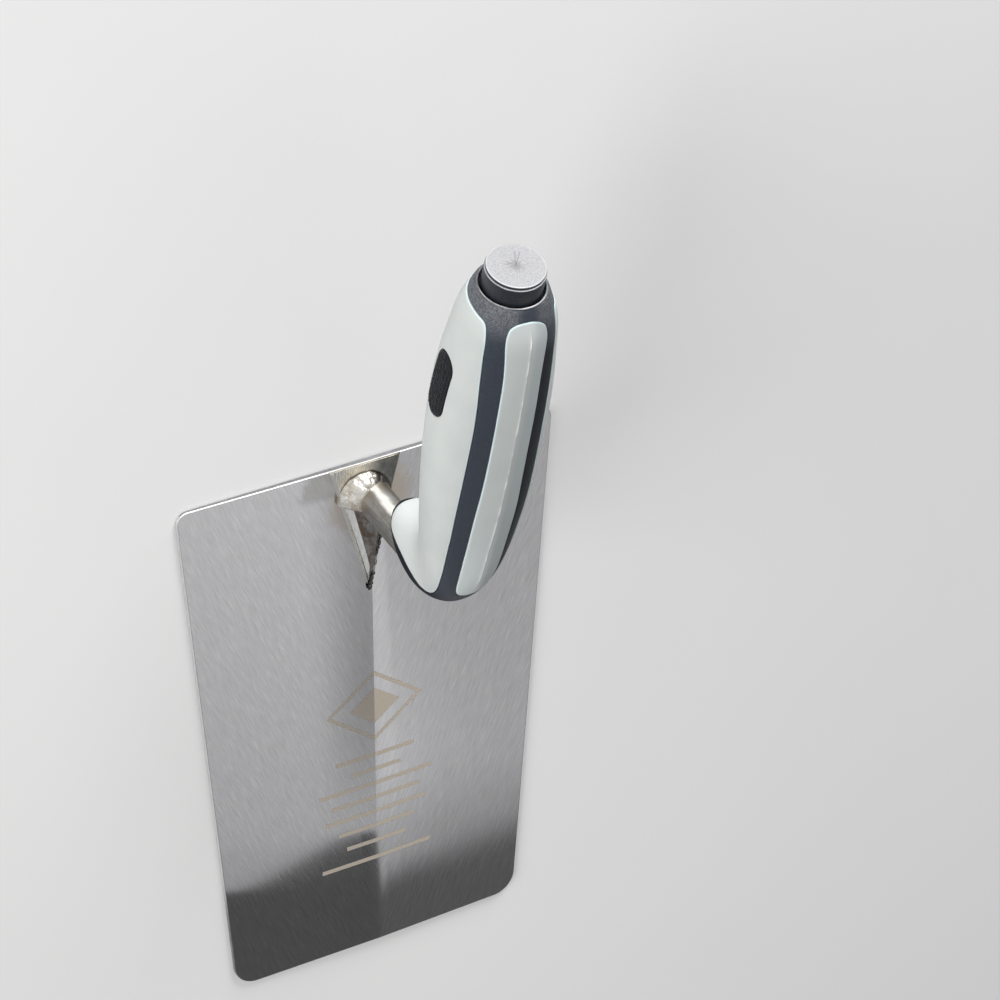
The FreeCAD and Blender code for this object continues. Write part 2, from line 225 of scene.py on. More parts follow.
def half_outline(control, axis_deg):
    """Smooths a half outline in uv whose ends lie on the symmetry line axis_deg."""
    st = to_st(control)
    axis = axis_deg * MM_PER_DEGREE
    first, last = st[[1, -2]] * (1, -1) + (0, 2 * axis)
    st = smooth_curve([first, *st, last])
    st[0, 1] = st[-1, 1] = axis
    return to_uv(st)


def resample(uv, step, closed=False):
    if closed:
        uv = np.vstack([uv, uv[:1]])
    p = surf(*uv.T)
    travel = np.concatenate([[0.0], np.cumsum(np.linalg.norm(np.diff(p, axis=0), axis=1))])
    count = max(6, int(round(travel[-1] / step)))
    wanted = np.linspace(0.0, travel[-1], count + 1)
    if closed:
        wanted = wanted[:-1]
    return np.stack([np.interp(wanted, travel, uv[:, k]) for k in (0, 1)], -1)


def line_uv(start, end, deg, step):
    """Points strictly between two stations on a line of constant angle."""
    line = np.array([(u, deg) for u in np.linspace(start, end, 60)])
    return resample(line, step)[1:-1]


def rim_frame(uv, closed, sign=1):
    """Position, normal and in-surface side direction along an outline.

    An open outline ends on x = 0, where both directions stay in the symmetry plane.
    """
    p, normal = surf(*uv.T), surf_normal(*uv.T)
    if closed:
        tangent = np.roll(p, -1, 0) - np.roll(p, 1, 0)
    else:
        tangent = np.zeros_like(p)
        tangent[1:-1] = p[2:] - p[:-2]
        tangent[0, 0], tangent[-1, 0] = p[1, 0], -p[-2, 0]
    side = unit(np.cross(normal, unit(tangent))) * sign
    if not closed:
        normal[[0, -1], 0] = side[[0, -1], 0] = 0.0
    return p, unit(normal), unit(side)


def inward_sign(uv, centre, closed=False):
    """The sign that turns rim_frame's side direction towards centre."""
    p, _, side = rim_frame(uv, closed)
    k = len(p) // 3
    return 1.0 if (centre - p[k]) @ side[k] > 0 else -1.0


def shifted_uv(uv, side, distance, axis_deg):
    """The uv of outline points moved along their side directions."""
    du, dv = np.array([0.01, 0.0]), np.array([0.0, 0.5])
    slope_u = (surf(*(uv + du).T) - surf(*(uv - du).T)) / (2 * du[0])
    slope_v = (surf(*(uv + dv).T) - surf(*(uv - dv).T)) / (2 * dv[1])
    moved = uv.copy()
    for i in range(len(uv)):
        slopes = np.stack([slope_u[i], slope_v[i]], -1)
        moved[i] += np.linalg.lstsq(slopes, side[i] * distance, rcond=None)[0]
    if axis_deg is not None:
        moved[0, 1] = moved[-1, 1] = axis_deg
    return moved


def arc_steps(radius, top, count=5):
    """Rounded edge: (distance from the wall, height) from the wall's top to full height."""
    return [(radius * (1 - math.cos(a)), top - radius * (1 - math.sin(a)))
            for a in np.linspace(0.0, math.pi / 2, count)]


# ---------------------------------------------------------------- mesh building
class Build:
    """Collects vertices (mm), faces and a per-vertex rim value that the materials read."""

    def __init__(self):
        self.points, self.faces, self.rims = [], [], []

    def add(self, points, rim=0.0):
        points = np.asarray(points, float).reshape(-1, 3)
        start = len(self.points)
        self.points.extend(map(tuple, points))
        self.rims.extend(np.broadcast_to(rim, (len(points),)))
        return list(range(start, start + len(points)))

    def strip(self, a, b, closed=False):
        n = len(a)
        for i in range(n if closed else n - 1):
            j = (i + 1) % n
            self.faces.append((a[i], a[j], b[j], b[i]))

    def fan(self, ring, centre, closed=True):
        n = len(ring)
        for i in range(n if closed else n - 1):
            self.faces.append((ring[i], ring[(i + 1) % n], centre))

    def loft(self, sections, start=None, closed=False):
        """Joins (points, rim) sections one after another; returns all rings."""
        rings = [start] if start else []
        for points, rim in sections:
            rings.append(self.add(points, rim))
            if len(rings) > 1:
                self.strip(rings[-2], rings[-1], closed)
        return rings

    def tube(self, sections, start, end, rim=0.0):
        """Closed sections joined together, with a fan to a point at each end."""
        last = None
        for points in sections:
            ring = self.add(points, rim)
            if last is None:
                self.fan(ring, self.add(start)[0])
            else:
                self.strip(last, ring, True)
            last = ring
        self.fan(last, self.add(end)[0])

    def lids(self, rings):
        self.faces.append(tuple(rings[-1]))
        self.faces.append(tuple(reversed(rings[0])))


def finish_mesh(b, name, merge=0.004):
    mesh = bpy.data.meshes.new(name)
    mesh.from_pydata((np.array(b.points, float) * MM).tolist(), [], b.faces)
    rim = mesh.attributes.new("rim", "FLOAT", "POINT")
    rim.data.foreach_set("value", np.array(b.rims, np.float32))
    bm = bmesh.new()
    bm.from_mesh(mesh)
    bmesh.ops.remove_doubles(bm, verts=bm.verts, dist=merge * MM)
    bmesh.ops.dissolve_degenerate(bm, edges=bm.edges, dist=merge * MM * 0.5)
    bmesh.ops.recalc_face_normals(bm, faces=bm.faces)
    for face in bm.faces:
        face.smooth = True
    bm.to_mesh(mesh)
    bm.free()
    mesh.validate()
    return link_object(name, mesh)


def link_object(name, data):
    obj = bpy.data.objects.new(name, data)
    bpy.context.scene.collection.objects.link(obj)
    return obj


def join_halves(left, right, name):
    """One mesh from two left halves, the second one mirrored across x = 0."""
    b = Build()
    n = len(left.points)
    b.points = left.points + [(-x, y, z) for x, y, z in right.points]
    b.faces = left.faces + [tuple(i + n for i in reversed(f)) for f in right.faces]
    b.rims = left.rims + right.rims
    return finish_mesh(b, name)


def weighted_normals(obj):
    modifier = obj.modifiers.new("normals", "WEIGHTED_NORMAL")
    modifier.weight = 100
    return modifier


def ring_points(centre, directions, radius, axis, height=0.0):
    """A ring of points; radius and height are numbers or one value per direction."""
    return (centre + directions * np.reshape(radius, (-1, 1))
            + axis * np.reshape(height, (-1, 1)))


def point_tree(points):
    """A search tree over the first three coordinates; flat points lie at z = 0."""
    tree = kdtree.KDTree(len(points))
    for i, p in enumerate(points):
        tree.insert((*p, 0.0)[:3], i)
    tree.balance()
    return tree


def flat_distance(tree, p):
    return tree.find((p[0], p[1], 0.0))[2]


# ---------------------------------------------------------------- flat triangulation
def inside(polygon, points):
    polygon = np.asarray(polygon, float)
    x, y = points[:, 0], points[:, 1]
    result = np.zeros(len(points), bool)
    for (x0, y0), (x1, y1) in zip(polygon, np.roll(polygon, -1, 0)):
        if y0 != y1:
            result ^= ((y0 > y) != (y1 > y)) & (x < (x1 - x0) * (y - y0) / (y1 - y0) + x0)
    return result


def between_loops(loops, points):
    """Which points lie inside the first loop and outside the others."""
    result = inside(loops[0], points)
    for hole in loops[1:]:
        result &= ~inside(hole, points)
    return result


def triangulate(loops, inner):
    """Triangles over the joined loops and inner points, and any point that had to be added."""
    edges = []
    start = 0
    for loop in loops:
        n = len(loop)
        edges.extend((start + i, start + (i + 1) % n) for i in range(n))
        start += n
    points = np.vstack([*loops, inner])
    result = delaunay_2d_cdt([Vector(p) for p in points], edges, [], 0, 1e-6)
    places, triangles, origins = result[0], result[2], result[3]
    index, added = [], []
    for i, origin in enumerate(origins):
        if origin:
            index.append(origin[0])
        else:
            index.append(len(points) + len(added))
            added.append(tuple(places[i]))
    triangles = [tuple(index[k] for k in t) for t in triangles]
    if added:
        points = np.vstack([points, added])
    centres = np.array([(points[i] + points[j] + points[k]) / 3 for i, j, k in triangles])
    keep = between_loops(loops, centres)
    return [t for t, k in zip(triangles, keep) if k], added


def lattice(loops, step, clear):
    """A triangular lattice between the loops, farther than clear from their points."""
    low, high = loops[0].min(0), loops[0].max(0)
    rows = []
    row_step = step * math.sqrt(3) / 2
    for j, t in enumerate(np.arange(low[1], high[1] + row_step, row_step)):
        s = np.arange(low[0], high[0] + step, step) + (step / 2 if j % 2 else 0)
        rows.append(np.stack([s, np.full_like(s, t)], -1))
    grid = np.vstack(rows)
    grid = grid[between_loops(loops, grid)]
    tree = point_tree(np.vstack(loops))
    return np.array([p for p in grid if flat_distance(tree, p) > clear])


def fill(b, loops, ring, inner, relief):
    """Fills between loops. ring holds the vertices of the leading loop points; the rest are new.

    relief is a height, or a function of (st, uv, points) that gives (height, rim).
    """
    triangles, added = triangulate(loops, inner)
    st = np.vstack([np.vstack(loops)[len(ring):], inner] + ([added] if added else []))
    uv = to_uv(st)
    p = surf(*uv.T)
    height, rim = relief(st, uv, p) if callable(relief) else (relief, 0.0)
    ids = ring + b.add(p + surf_normal(*uv.T) * np.reshape(height, (-1, 1)), rim)
    b.faces.extend(tuple(ids[k] for k in t) for t in triangles)


def fill_below(b, path, ring, axis_deg, depth, step=2.4, clear=0.9):
    """The flat underside of a half panel, or the floor of its recess."""
    middle = line_uv(path[-1, 0], path[0, 0], axis_deg, 2.0)
    loop = to_st(np.vstack([path, middle]))
    fill(b, [loop], ring, lattice([loop], step, clear), -depth)


def edge_rings(b, uv, sign, steps, axis_deg=None, rims=None):
    """Rings of (side distance, height) along an outline, closed unless axis_deg is given.

    Returns the first ring, the last ring and the uv of the last ring.
    """
    closed = axis_deg is None
    p, normal, side = rim_frame(uv, closed, sign)
    rims = rims or [0.0] * len(steps)
    rings = b.loft([(p + side * distance + normal * height, rim)
                    for (distance, height), rim in zip(steps, rims)], closed=closed)
    return rings[0], rings[-1], shifted_uv(uv, side, steps[-1][0], axis_deg)


# ---------------------------------------------------------------- panel outlines
# Left halves as (station, angle), from the butt's end of the symmetry line round to the nose's.
TOP_HALF = [
    (0.43, 0.0), (0.43, -7.0), (0.45, -14.0), (0.51, -20.5), (0.62, -25.6), (0.88, -28.2),
    (1.30, -27.8), (1.75, -25.8), (2.35, -22.6), (3.36, -20.2), (4.35, -19.7), (5.10, -20.4),
    (6.00, -22.6), (6.85, -23.9), (7.50, -25.6), (7.95, -26.2), (8.28, -25.2), (8.52, -21.5),
    (8.62, -15.0), (8.66, -7.0), (8.67, 0.0)]
WRAP_HALF = [
    (0.40, -180.0), (0.40, -165.0), (0.41, -150.0), (0.42, -129.0), (0.46, -112.0),
    (0.50, -95.0), (0.53, -82.0), (0.56, -72.0), (0.60, -64.5), (0.70, -59.8), (0.92, -56.2),
    (1.28, -53.6), (1.80, -52.2), (2.41, -48.5), (3.06, -43.6), (3.65, -41.5), (4.43, -41.5),
    (5.38, -43.0), (6.0, -44.4), (6.7, -46.0), (7.46, -49.6), (8.25, -52.6), (8.85, -52.0),
    (9.25, -51.4), (9.50, -51.6), (9.75, -54.6), (10.02, -61.5), (10.25, -74.5),
    (10.62, -87.0), (11.25, -97.5), (11.85, -104.0), (12.27, -109.5), (12.50, -118.0),
    (12.50, -131.0), (12.32, -144.0), (12.12, -156.0), (11.92, -170.0), (11.84, -180.0)]
TOP_AXIS, WRAP_AXIS = 0.0, -180.0


def narrower(half):
    """The right side's outline: a little closer to the middle towards the butt."""
    result = []
    for u, a in half:
        scale = float(np.interp(u, [1.6, 4.0, 7.0], [0.83, 0.90, 1.0]))
        if u < 1.0:
            u += 0.10 * min(1.0, -a / 20.0) * min(1.0, max(0.0, (60.0 + a) / 30.0))
        scale = 1.0 + (scale - 1.0) * min(1.0, max(0.0, (120.0 + a) / 55.0))
        result.append((u, a * scale))
    return result


def both_sides(half, axis_deg, step):
    return {LEFT: resample(half_outline(half, axis_deg), step),
            RIGHT: resample(half_outline(narrower(half), axis_deg), step)}


TOP_PATH = both_sides(TOP_HALF, TOP_AXIS, 0.55)
WRAP_PATH = both_sides(WRAP_HALF, WRAP_AXIS, 0.6)


# The inset's outline: a stadium drawn in the symmetry plane and carried to the left side.
def side_uv(targets):
    """The uv of the left side's surface points at given (y, z), by Newton's method."""
    grid_u, grid_deg = np.meshgrid(np.linspace(1.4, 5.2, 130), np.linspace(-150, -45, 150),
                                   indexing="ij")
    grid = np.stack([grid_u.ravel(), grid_deg.ravel()], -1)
    places = surf(*grid.T)[:, 1:]
    found = []
    for target in targets:
        uv = grid[int(np.argmin(((places - target) ** 2).sum(1)))]
        for _ in range(6):
            here = surf(uv[0], uv[1])[1:]
            slopes = np.stack([(surf(uv[0] + 0.01, uv[1])[1:] - here) / 0.01,
                               (surf(uv[0], uv[1] + 0.1)[1:] - here) / 0.1], -1)
            uv = uv + np.linalg.solve(slopes, target - here)
        found.append(uv)
    return np.array(found)


def stadium(end_a, end_b, radius):
    """Outline in (y, z) whose round ends reach end_a and end_b."""
    along = unit(end_b - end_a)
    across = np.array([-along[1], along[0]])
    points = []
    for centre, start in ((end_b - along * radius, -90), (end_a + along * radius, 90)):
        for a in np.radians(np.linspace(start, start + 180, 19)):
            points.append(centre + radius * (math.cos(a) * along + math.sin(a) * across))
    return points


INSET_PATH = resample(side_uv(stadium(surf(2.55, -97.0)[1:], surf(4.05, -97.0)[1:],
                                      INSET_RADIUS)), 0.5, closed=True)

# side signs that point into each panel
TOP_SIGN = inward_sign(TOP_PATH[LEFT], surf(4.5, 0.0))
WRAP_SIGN = inward_sign(WRAP_PATH[LEFT], surf(4.5, -110.0))
INSET_SIGN = inward_sign(INSET_PATH, surf(*INSET_PATH.T).mean(0), closed=True)

# the panels' edge as (distance inwards, height), with the rim value of each ring
PANEL_EDGE = [(0.0, -PANEL_DEPTH), (0.0, -0.45), *arc_steps(0.32, 0.14), (0.62, PANEL_RISE)]
PANEL_RIMS = [1.0, 1.0, 1.0, 0.9, 0.75, 0.6, 0.42, 0.12]


# ---------------------------------------------------------------- top panel
def crease_relief(_, uv, p):
    """Height with a low moulded crease along the middle, and a negative rim value on it."""
    x, u = np.abs(p[:, 0]), uv[:, 0]
    along = np.clip((u - 0.36) / 0.8, 0, 1) * np.clip((8.66 - u) / 0.9, 0, 1)
    along = along * along * (3 - 2 * along)
    roof = np.clip(1.0 - x / 4.2, 0.0, 1.0)
    bead = np.exp(-(x / 0.30) ** 2)
    fade = np.clip(np.minimum(u - 0.5, 8.6 - u) / 0.6, 0.0, 1.0)
    return PANEL_RISE + along * (0.36 * roof + 0.17 * bead), -np.exp(-(x / 0.17) ** 2) * fade


def half_top_panel(hand):
    b = Build()
    path = TOP_PATH[hand]
    first, last, uv = edge_rings(b, path, TOP_SIGN, PANEL_EDGE, TOP_AXIS, PANEL_RIMS)
    loop = to_st(np.vstack([uv, line_uv(uv[-1, 0], uv[0, 0], TOP_AXIS, 0.7)]))
    grid = lattice([loop], 0.8, 0.42)
    grid = grid[-grid[:, 1] > 1.45]
    # rows at these distances from the middle resolve the crease
    rows = []
    for x in (0.12, 0.27, 0.45, 0.75):
        row = line_uv(uv[0, 0] + 0.02, uv[-1, 0] - 0.02, TOP_AXIS, 0.7)
        width = station_value(HALF_WIDTH, row[:, 0])
        row[:, 1] = -np.degrees(np.arcsin((x / width) ** (SECTION_POWER / 2)))
        rows.append(to_st(row))
    rows = np.vstack(rows)
    rows = rows[inside(loop, rows)]
    edge = point_tree(loop[:len(uv)])
    rows = np.array([p for p in rows if flat_distance(edge, p) > 0.3])
    fill(b, [loop], last, np.vstack([grid, rows]), crease_relief)
    fill_below(b, path, first, TOP_AXIS, PANEL_DEPTH, step=2.2, clear=0.8)
    return b


# ---------------------------------------------------------------- wrap panel
def half_wrap_panel(hand):
    b = Build()
    path = WRAP_PATH[hand]
    first, last, uv = edge_rings(b, path, WRAP_SIGN, PANEL_EDGE, WRAP_AXIS, PANEL_RIMS)
    hole_edge = [(GAP, -HOLE_DEPTH), (GAP, -0.12)]
    hole_edge += [(GAP + d, h) for d, h in arc_steps(0.2, 0.14, 4)]
    hole_edge.append((0.5, PANEL_RISE))
    hole_first, hole_last, hole_uv = edge_rings(b, INSET_PATH, -INSET_SIGN, hole_edge)
    middle = line_uv(uv[-1, 0], uv[0, 0], WRAP_AXIS, 0.9)
    loops = [to_st(np.vstack([uv, middle])), to_st(hole_uv)]
    ring = last + b.add(on_surface(middle, PANEL_RISE)) + hole_last
    fill(b, loops, ring, lattice(loops, 0.95, 0.5), PANEL_RISE)
    fill_inset_bottom(b, hole_first, HOLE_DEPTH)
    fill_below(b, path, first, WRAP_AXIS, PANEL_DEPTH)
    return b


# ---------------------------------------------------------------- side insets
def fill_inset_bottom(b, ring, depth):
    loop = to_st(INSET_PATH)
    fill(b, [loop], ring, lattice([loop], 1.6, 0.6), -depth)


def build_inset(side):
    """A stadium-shaped pad covered with a jittered hexagonal field of low domes."""
    b = Build()
    steps = [(0.0, -INSET_DEPTH), (0.0, 0.0), *arc_steps(0.28, INSET_RISE), (0.5, 0.32)]
    first, last, uv = edge_rings(b, INSET_PATH, INSET_SIGN, steps)
    loop = to_st(uv)
    dome_s, dome_t, jitter, dome_radius, dome_height = 0.9, 0.78, 0.16, 0.47, 0.30
    rng = np.random.RandomState(7 if side == LEFT else 11)
    low, high = loop.min(0) - 1, loop.max(0) + 1
    domes = []
    for j, t in enumerate(np.arange(low[1], high[1], dome_t)):
        for s in np.arange(low[0], high[0], dome_s):
            domes.append((s + (dome_s / 2 if j % 2 else 0) + rng.uniform(-jitter, jitter),
                          t + rng.uniform(-jitter, jitter)))
    dome_tree, edge_tree = point_tree(domes), point_tree(loop)

    def pebbles(st, _, __):
        heights = []
        for p in st:
            d = flat_distance(dome_tree, p) / dome_radius
            fade = min(1.0, flat_distance(edge_tree, p) / 0.5)
            heights.append(fade * dome_height * math.sqrt(max(0.0, 1.0 - d * d)))
        return INSET_RISE + np.array(heights), 0.0

    fill(b, [loop], last, lattice([loop], 0.2, 0.14), pebbles)
    fill_inset_bottom(b, first, INSET_DEPTH)
    if side == RIGHT:
        b.points = [(-x, y, z) for x, y, z in b.points]
    return finish_mesh(b, "inset_pad_left" if side == LEFT else "inset_pad_right")


# ---------------------------------------------------------------- handle core
# centre of the butt's plane, its outward axis and the upward direction in it
BUTT = np.array([0.0, HEEL_Y + (STATIONS[0, 0] + STATIONS[0, 2]) / 2,
                 EDGE_THICKNESS + (STATIONS[0, 1] + STATIONS[0, 3]) / 2])
BUTT_AXIS = unit(np.array([0.0, STATIONS[0, 1] - STATIONS[0, 3],
                           STATIONS[0, 2] - STATIONS[0, 0]]))
BUTT_UP = np.array([0.0, -BUTT_AXIS[2], BUTT_AXIS[1]])

# Lip round the cap's hole. Columns: radius beyond LIP_RADIUS, height along the axis, rim value
# (where the lip's highlight is painted).
LIP = [(0.66, 0.0, 0.0), (0.56, 0.07, 0.5), (0.42, 0.15, 1.0), (0.26, 0.17, 1.0),
       (0.12, 0.10, 0.7), (0.02, -0.05, 0.0), (0.0, -0.30, 0.0), (0.0, -3.0, 0.0),
       (-0.3, -3.15, 0.0), (-3.3, -3.15, 0.0)]
CORE_START, CORE_END = 0.05, 12.72                  # stations where the rounded ends begin
HALF_ANGLES = np.linspace(-180.0, 0.0, 76)


def close_butt(b, ring):
    """Rounded edge, flat lip and the recess that holds the cap."""
    radial = surf(0.0, HALF_ANGLES) - BUTT
    radial = radial - (radial @ BUTT_AXIS)[:, None] * BUTT_AXIS
    radius, directions = np.linalg.norm(radial, axis=1), unit(radial)
    start = (surf(CORE_START, HALF_ANGLES) - BUTT) @ BUTT_AXIS
    rounding = 0.40
    sections = [(ring_points(BUTT, directions, radius - rounding * (1 - math.cos(a)),
                             BUTT_AXIS, start - start * math.sin(a)), 0.0)
                for a in np.linspace(0.2, math.pi / 2, 6)]
    sections += [(ring_points(BUTT, directions, LIP_RADIUS + extra, BUTT_AXIS, height), rim)
                 for extra, height, rim in LIP]
    last = b.loft(sections, start=ring)[-1]
    b.fan(last, b.add(BUTT + BUTT_AXIS * LIP[-1][1])[0], closed=False)


def close_nose(b, ring):
    """Rounded end of the guard collar and its flat face round the tang."""
    top, bottom = surf(13.0, 0.0), surf(13.0, 180.0)
    centre = (top + bottom) / 2
    down = unit(bottom - top)
    axis = np.array([0.0, down[2], -down[1]])
    if (centre - (surf(12.0, 0.0) + surf(12.0, 180.0)) / 2) @ axis < 0:
        axis = -axis
    radial = surf(13.0, HALF_ANGLES) - centre
    radius, directions = np.linalg.norm(radial, axis=1), unit(radial)
    start = (surf(CORE_END, HALF_ANGLES) - centre) @ axis
    rounding = 0.9
    sections = [(ring_points(centre, directions, radius - rounding * (1 - math.cos(a)),
                             axis, start * (1 - math.sin(a))), 0.0)
                for a in np.linspace(0.25, math.pi / 2, 7)]
    sections += [(ring_points(centre, directions, radius * k, axis), 0.0)
                 for k in (0.8, 0.5, 0.25)]
    last = b.loft(sections, start=ring)[-1]
    b.fan(last, b.add(centre)[0], closed=False)


def half_core(hand):
    b = Build()
    top_path, wrap_path = TOP_PATH[hand], WRAP_PATH[hand]
    steps = [(GAP, -RECESS_DEPTH), (GAP, -0.30)]
    steps += [(GAP + d, h) for d, h in arc_steps(0.22, 0.0, 4)]
    top_first, top_last, top_uv = edge_rings(b, top_path, -TOP_SIGN, steps, TOP_AXIS)
    wrap_first, wrap_last, wrap_uv = edge_rings(b, wrap_path, -WRAP_SIGN, steps, WRAP_AXIS)
    butt, nose = [np.stack([np.full_like(HALF_ANGLES, u), HALF_ANGLES], -1)
                  for u in (CORE_START, CORE_END)]
    # runs along the symmetry plane, below and above, on both ends of the panels
    low_butt = line_uv(CORE_START, wrap_uv[0, 0], WRAP_AXIS, 0.7)
    low_nose = line_uv(wrap_uv[-1, 0], CORE_END, WRAP_AXIS, 0.7)
    top_nose = line_uv(CORE_END, top_uv[-1, 0], TOP_AXIS, 0.7)
    top_butt = line_uv(top_uv[0, 0], CORE_START, TOP_AXIS, 0.7)

    def on(uv):
        return b.add(on_surface(uv))

    butt_ring, nose_ring = on(butt), on(nose)
    ring = (butt_ring[:1] + on(low_butt) + wrap_last + on(low_nose) + nose_ring + on(top_nose)
            + top_last[::-1] + on(top_butt) + butt_ring[:0:-1])
    loop = to_st(np.vstack([butt[:1], low_butt, wrap_uv, low_nose, nose, top_nose,
                            top_uv[::-1], top_butt, butt[:0:-1]]))
    fill(b, [loop], ring, lattice([loop], 0.8, 0.42), 0.0)
    fill_below(b, top_path, top_first, TOP_AXIS, RECESS_DEPTH)
    fill_below(b, wrap_path, wrap_first, WRAP_AXIS, RECESS_DEPTH)
    close_butt(b, butt_ring)
    close_nose(b, nose_ring)
    return b


# ---------------------------------------------------------------- end cap
CAP_BASE = -3.1
# (height, radius) below the edge
CAP_BODY = [(CAP_BASE, 4.6), (-2.9, 4.6), (-2.9, CAP_RADIUS - 0.15), (-2.6, CAP_RADIUS),
            (0.0, CAP_RADIUS), (3.0, CAP_RADIUS)]
# ledge and rounded edge: (distance below the face, distance inside the wall)
CAP_EDGE = [(1.30, 0.0), (1.18, 0.02), (1.08, 0.08), (0.98, 0.20), (0.92, 0.36), (0.84, 0.42),
            (0.72, 0.40), (0.62, 0.30), (0.50, 0.25), (0.34, 0.25), (0.20, 0.28), (0.10, 0.36),
            (0.05, 0.46), (0.03, 0.60), (0.03, 0.95)]
# slightly domed face: (distance below the face, radius)
CAP_FACE = [(0.02, 5.5), (0.01, 3.5), (0.0, 1.5), (0.0, 0.5)]


def build_cap():
    b = Build()
    profile = CAP_BODY + [(CAP_HEIGHT - down, CAP_RADIUS - inset) for down, inset in CAP_EDGE]
    profile += [(CAP_HEIGHT - down, radius) for down, radius in CAP_FACE]
    side = np.cross(BUTT_AXIS, BUTT_UP)
    angles = np.linspace(0, 2 * math.pi, 176, endpoint=False)[:, None]
    directions = np.cos(angles) * BUTT_UP + np.sin(angles) * side
    base = b.add(BUTT + BUTT_AXIS * CAP_BASE)[0]
    last = None
    for height, radius in profile:
        ring = b.add(ring_points(BUTT, directions, radius, BUTT_AXIS, height))
        if last is None:
            b.fan(ring, base)
        else:
            b.strip(last, ring, True)
        last = ring
    b.fan(last, b.add(BUTT + BUTT_AXIS * CAP_HEIGHT)[0])
    return finish_mesh(b, "butt_cap")


# ---------------------------------------------------------------- blade
# Columns: inset from the outline, measured from the top face, height, rim value.
BLADE_RINGS = [(0.16, False, 0.0, 0.0), (0.05, False, 0.04, 1.0), (0.0, False, 0.16, 1.0),
               (0.0, True, -0.20, 1.0), (0.025, True, -0.11, 1.0), (0.10, True, -0.035, 0.9),
               (0.22, True, -0.004, 0.25), (0.30, True, 0.0, 0.0)]


def rounded_outline(corners, radii, count=14):
    points = []
    for i, radius in enumerate(radii):
        corner = np.array(corners[i], float)
        before = unit(np.array(corners[i - 1], float) - corner)
        after = unit(np.array(corners[(i + 1) % len(corners)], float) - corner)
        half = math.acos(float(np.clip(before @ after, -1, 1))) / 2
        reach = radius / math.tan(half)
        centre = corner + unit(before + after) * (radius / math.sin(half))
        start, end = corner + before * reach - centre, corner + after * reach - centre
        a0, a1 = math.atan2(start[1], start[0]), math.atan2(end[1], end[0])
        sweep = (a1 - a0 + math.pi) % (2 * math.pi) - math.pi
        for k in range(count + 1):
            a = a0 + sweep * k / count
            points.append(centre + radius * np.array([math.cos(a), math.sin(a)]))
    return np.array(points)


def build_blade():
    """A plate with a low ridge along x = 0."""
    heel, toe = HEEL_WIDTH / 2, TOE_WIDTH / 2
    full = rounded_outline([(-heel, HEEL_Y), (-toe, -HEEL_Y), (toe, -HEEL_Y), (heel, HEEL_Y)],
                           [HEEL_RADIUS, TOE_RADIUS, TOE_RADIUS, HEEL_RADIUS])
    # left half, from the middle of the heel round to the middle of the toe
    half = np.vstack([[(0.0, HEEL_Y)], full[full[:, 0] < 0], [(0.0, -HEEL_Y)]])
    outline = []
    for a, c in zip(half[:-1], half[1:]):
        n = max(1, int(np.linalg.norm(c - a) / 4.0))
        outline.extend(a + (c - a) * k / n for k in range(n))
    outline = np.array(outline + [half[-1]])
    tangent = np.zeros_like(outline)
    tangent[1:-1] = outline[2:] - outline[:-2]
    tangent[0], tangent[-1] = (-1.0, 0.0), (1.0, 0.0)
    tangent = unit(tangent)
    inward = np.stack([-tangent[:, 1], tangent[:, 0]], -1)
    sections = []
    for inset, from_top, height, rim in BLADE_RINGS:
        xy = outline + inward * inset
        xy[0, 0] = xy[-1, 0] = 0.0
        base = RIDGE_THICKNESS - np.abs(xy[:, 0]) * RIDGE_SLOPE if from_top else 0.0
        sections.append((np.column_stack([xy, np.full(len(xy), height) + base]), rim))
    b = Build()
    b.lids(b.loft(sections))
    obj = join_halves(b, b, "blade_plate")
    weighted_normals(obj).keep_sharp = True
    # the centre ridge is a crisp line
    mesh = obj.data
    for edge in mesh.edges:
        a, c = [mesh.vertices[i].co for i in edge.vertices]
        on_ridge = all(abs(p.x) < 1e-6 and p.z > 0.0015 for p in (a, c))
        if on_ridge and abs(a.y - c.y) > 0.1:
            edge.use_edge_sharp = True
    return obj


# ---------------------------------------------------------------- foot plate
# Columns: inset of the two long sides, z, distance of the back from the heel edge, rim value.
FOOT_RINGS = [(0.0, 1.25, 0.04, 1.0), (0.0, 1.60, 0.04, 1.0), (0.04, 1.66, 0.04, 1.0),
              (0.12, 1.70, 0.04, 1.0), (0.30, 1.78, 0.04, 0.9), (1.02, 2.44, 0.04, 0.9),
              (1.12, 2.50, 0.06, 0.8), (1.26, 2.54, 0.10, 0.3), (1.42, FOOT_TOP, 0.18, 0.0)]


def build_foot():
    """A triangular plate, flush with the heel edge, with bevels along its two long sides."""
    half = FOOT_WIDTH / 2
    slant = math.hypot(half, FOOT_LENGTH)
    sections = []
    for inset, z, back, rim in FOOT_RINGS:
        dx, dy = inset * slant / FOOT_LENGTH, inset * slant / half
        left = np.array([FOOT_X - half + dx, HEEL_Y - back])
        right = np.array([FOOT_X + half - dx, HEEL_Y - back])
        tip = np.array([FOOT_X, HEEL_Y - FOOT_LENGTH + dy])
        points = [a + (c - a) * k / n
                  for a, c, n in ((left, tip, 26), (tip, right, 26), (right, left, 14))
                  for k in range(n)]
        sections.append((np.column_stack([points, np.full(len(points), z)]), rim))
    b = Build()
    b.lids(b.loft(sections, closed=True))
    obj = finish_mesh(b, "foot_plate_visual")
    weighted_normals(obj)
    return obj


# ---------------------------------------------------------------- tang and weld bead
def fbm(p, scale, octaves=3):
    """Layered noise."""
    total, strength = 0.0, 1.0
    for _ in range(octaves):
        total += strength * noise.noise(Vector(p) * scale)
        strength *= 0.5
        scale *= 2.1
    return total


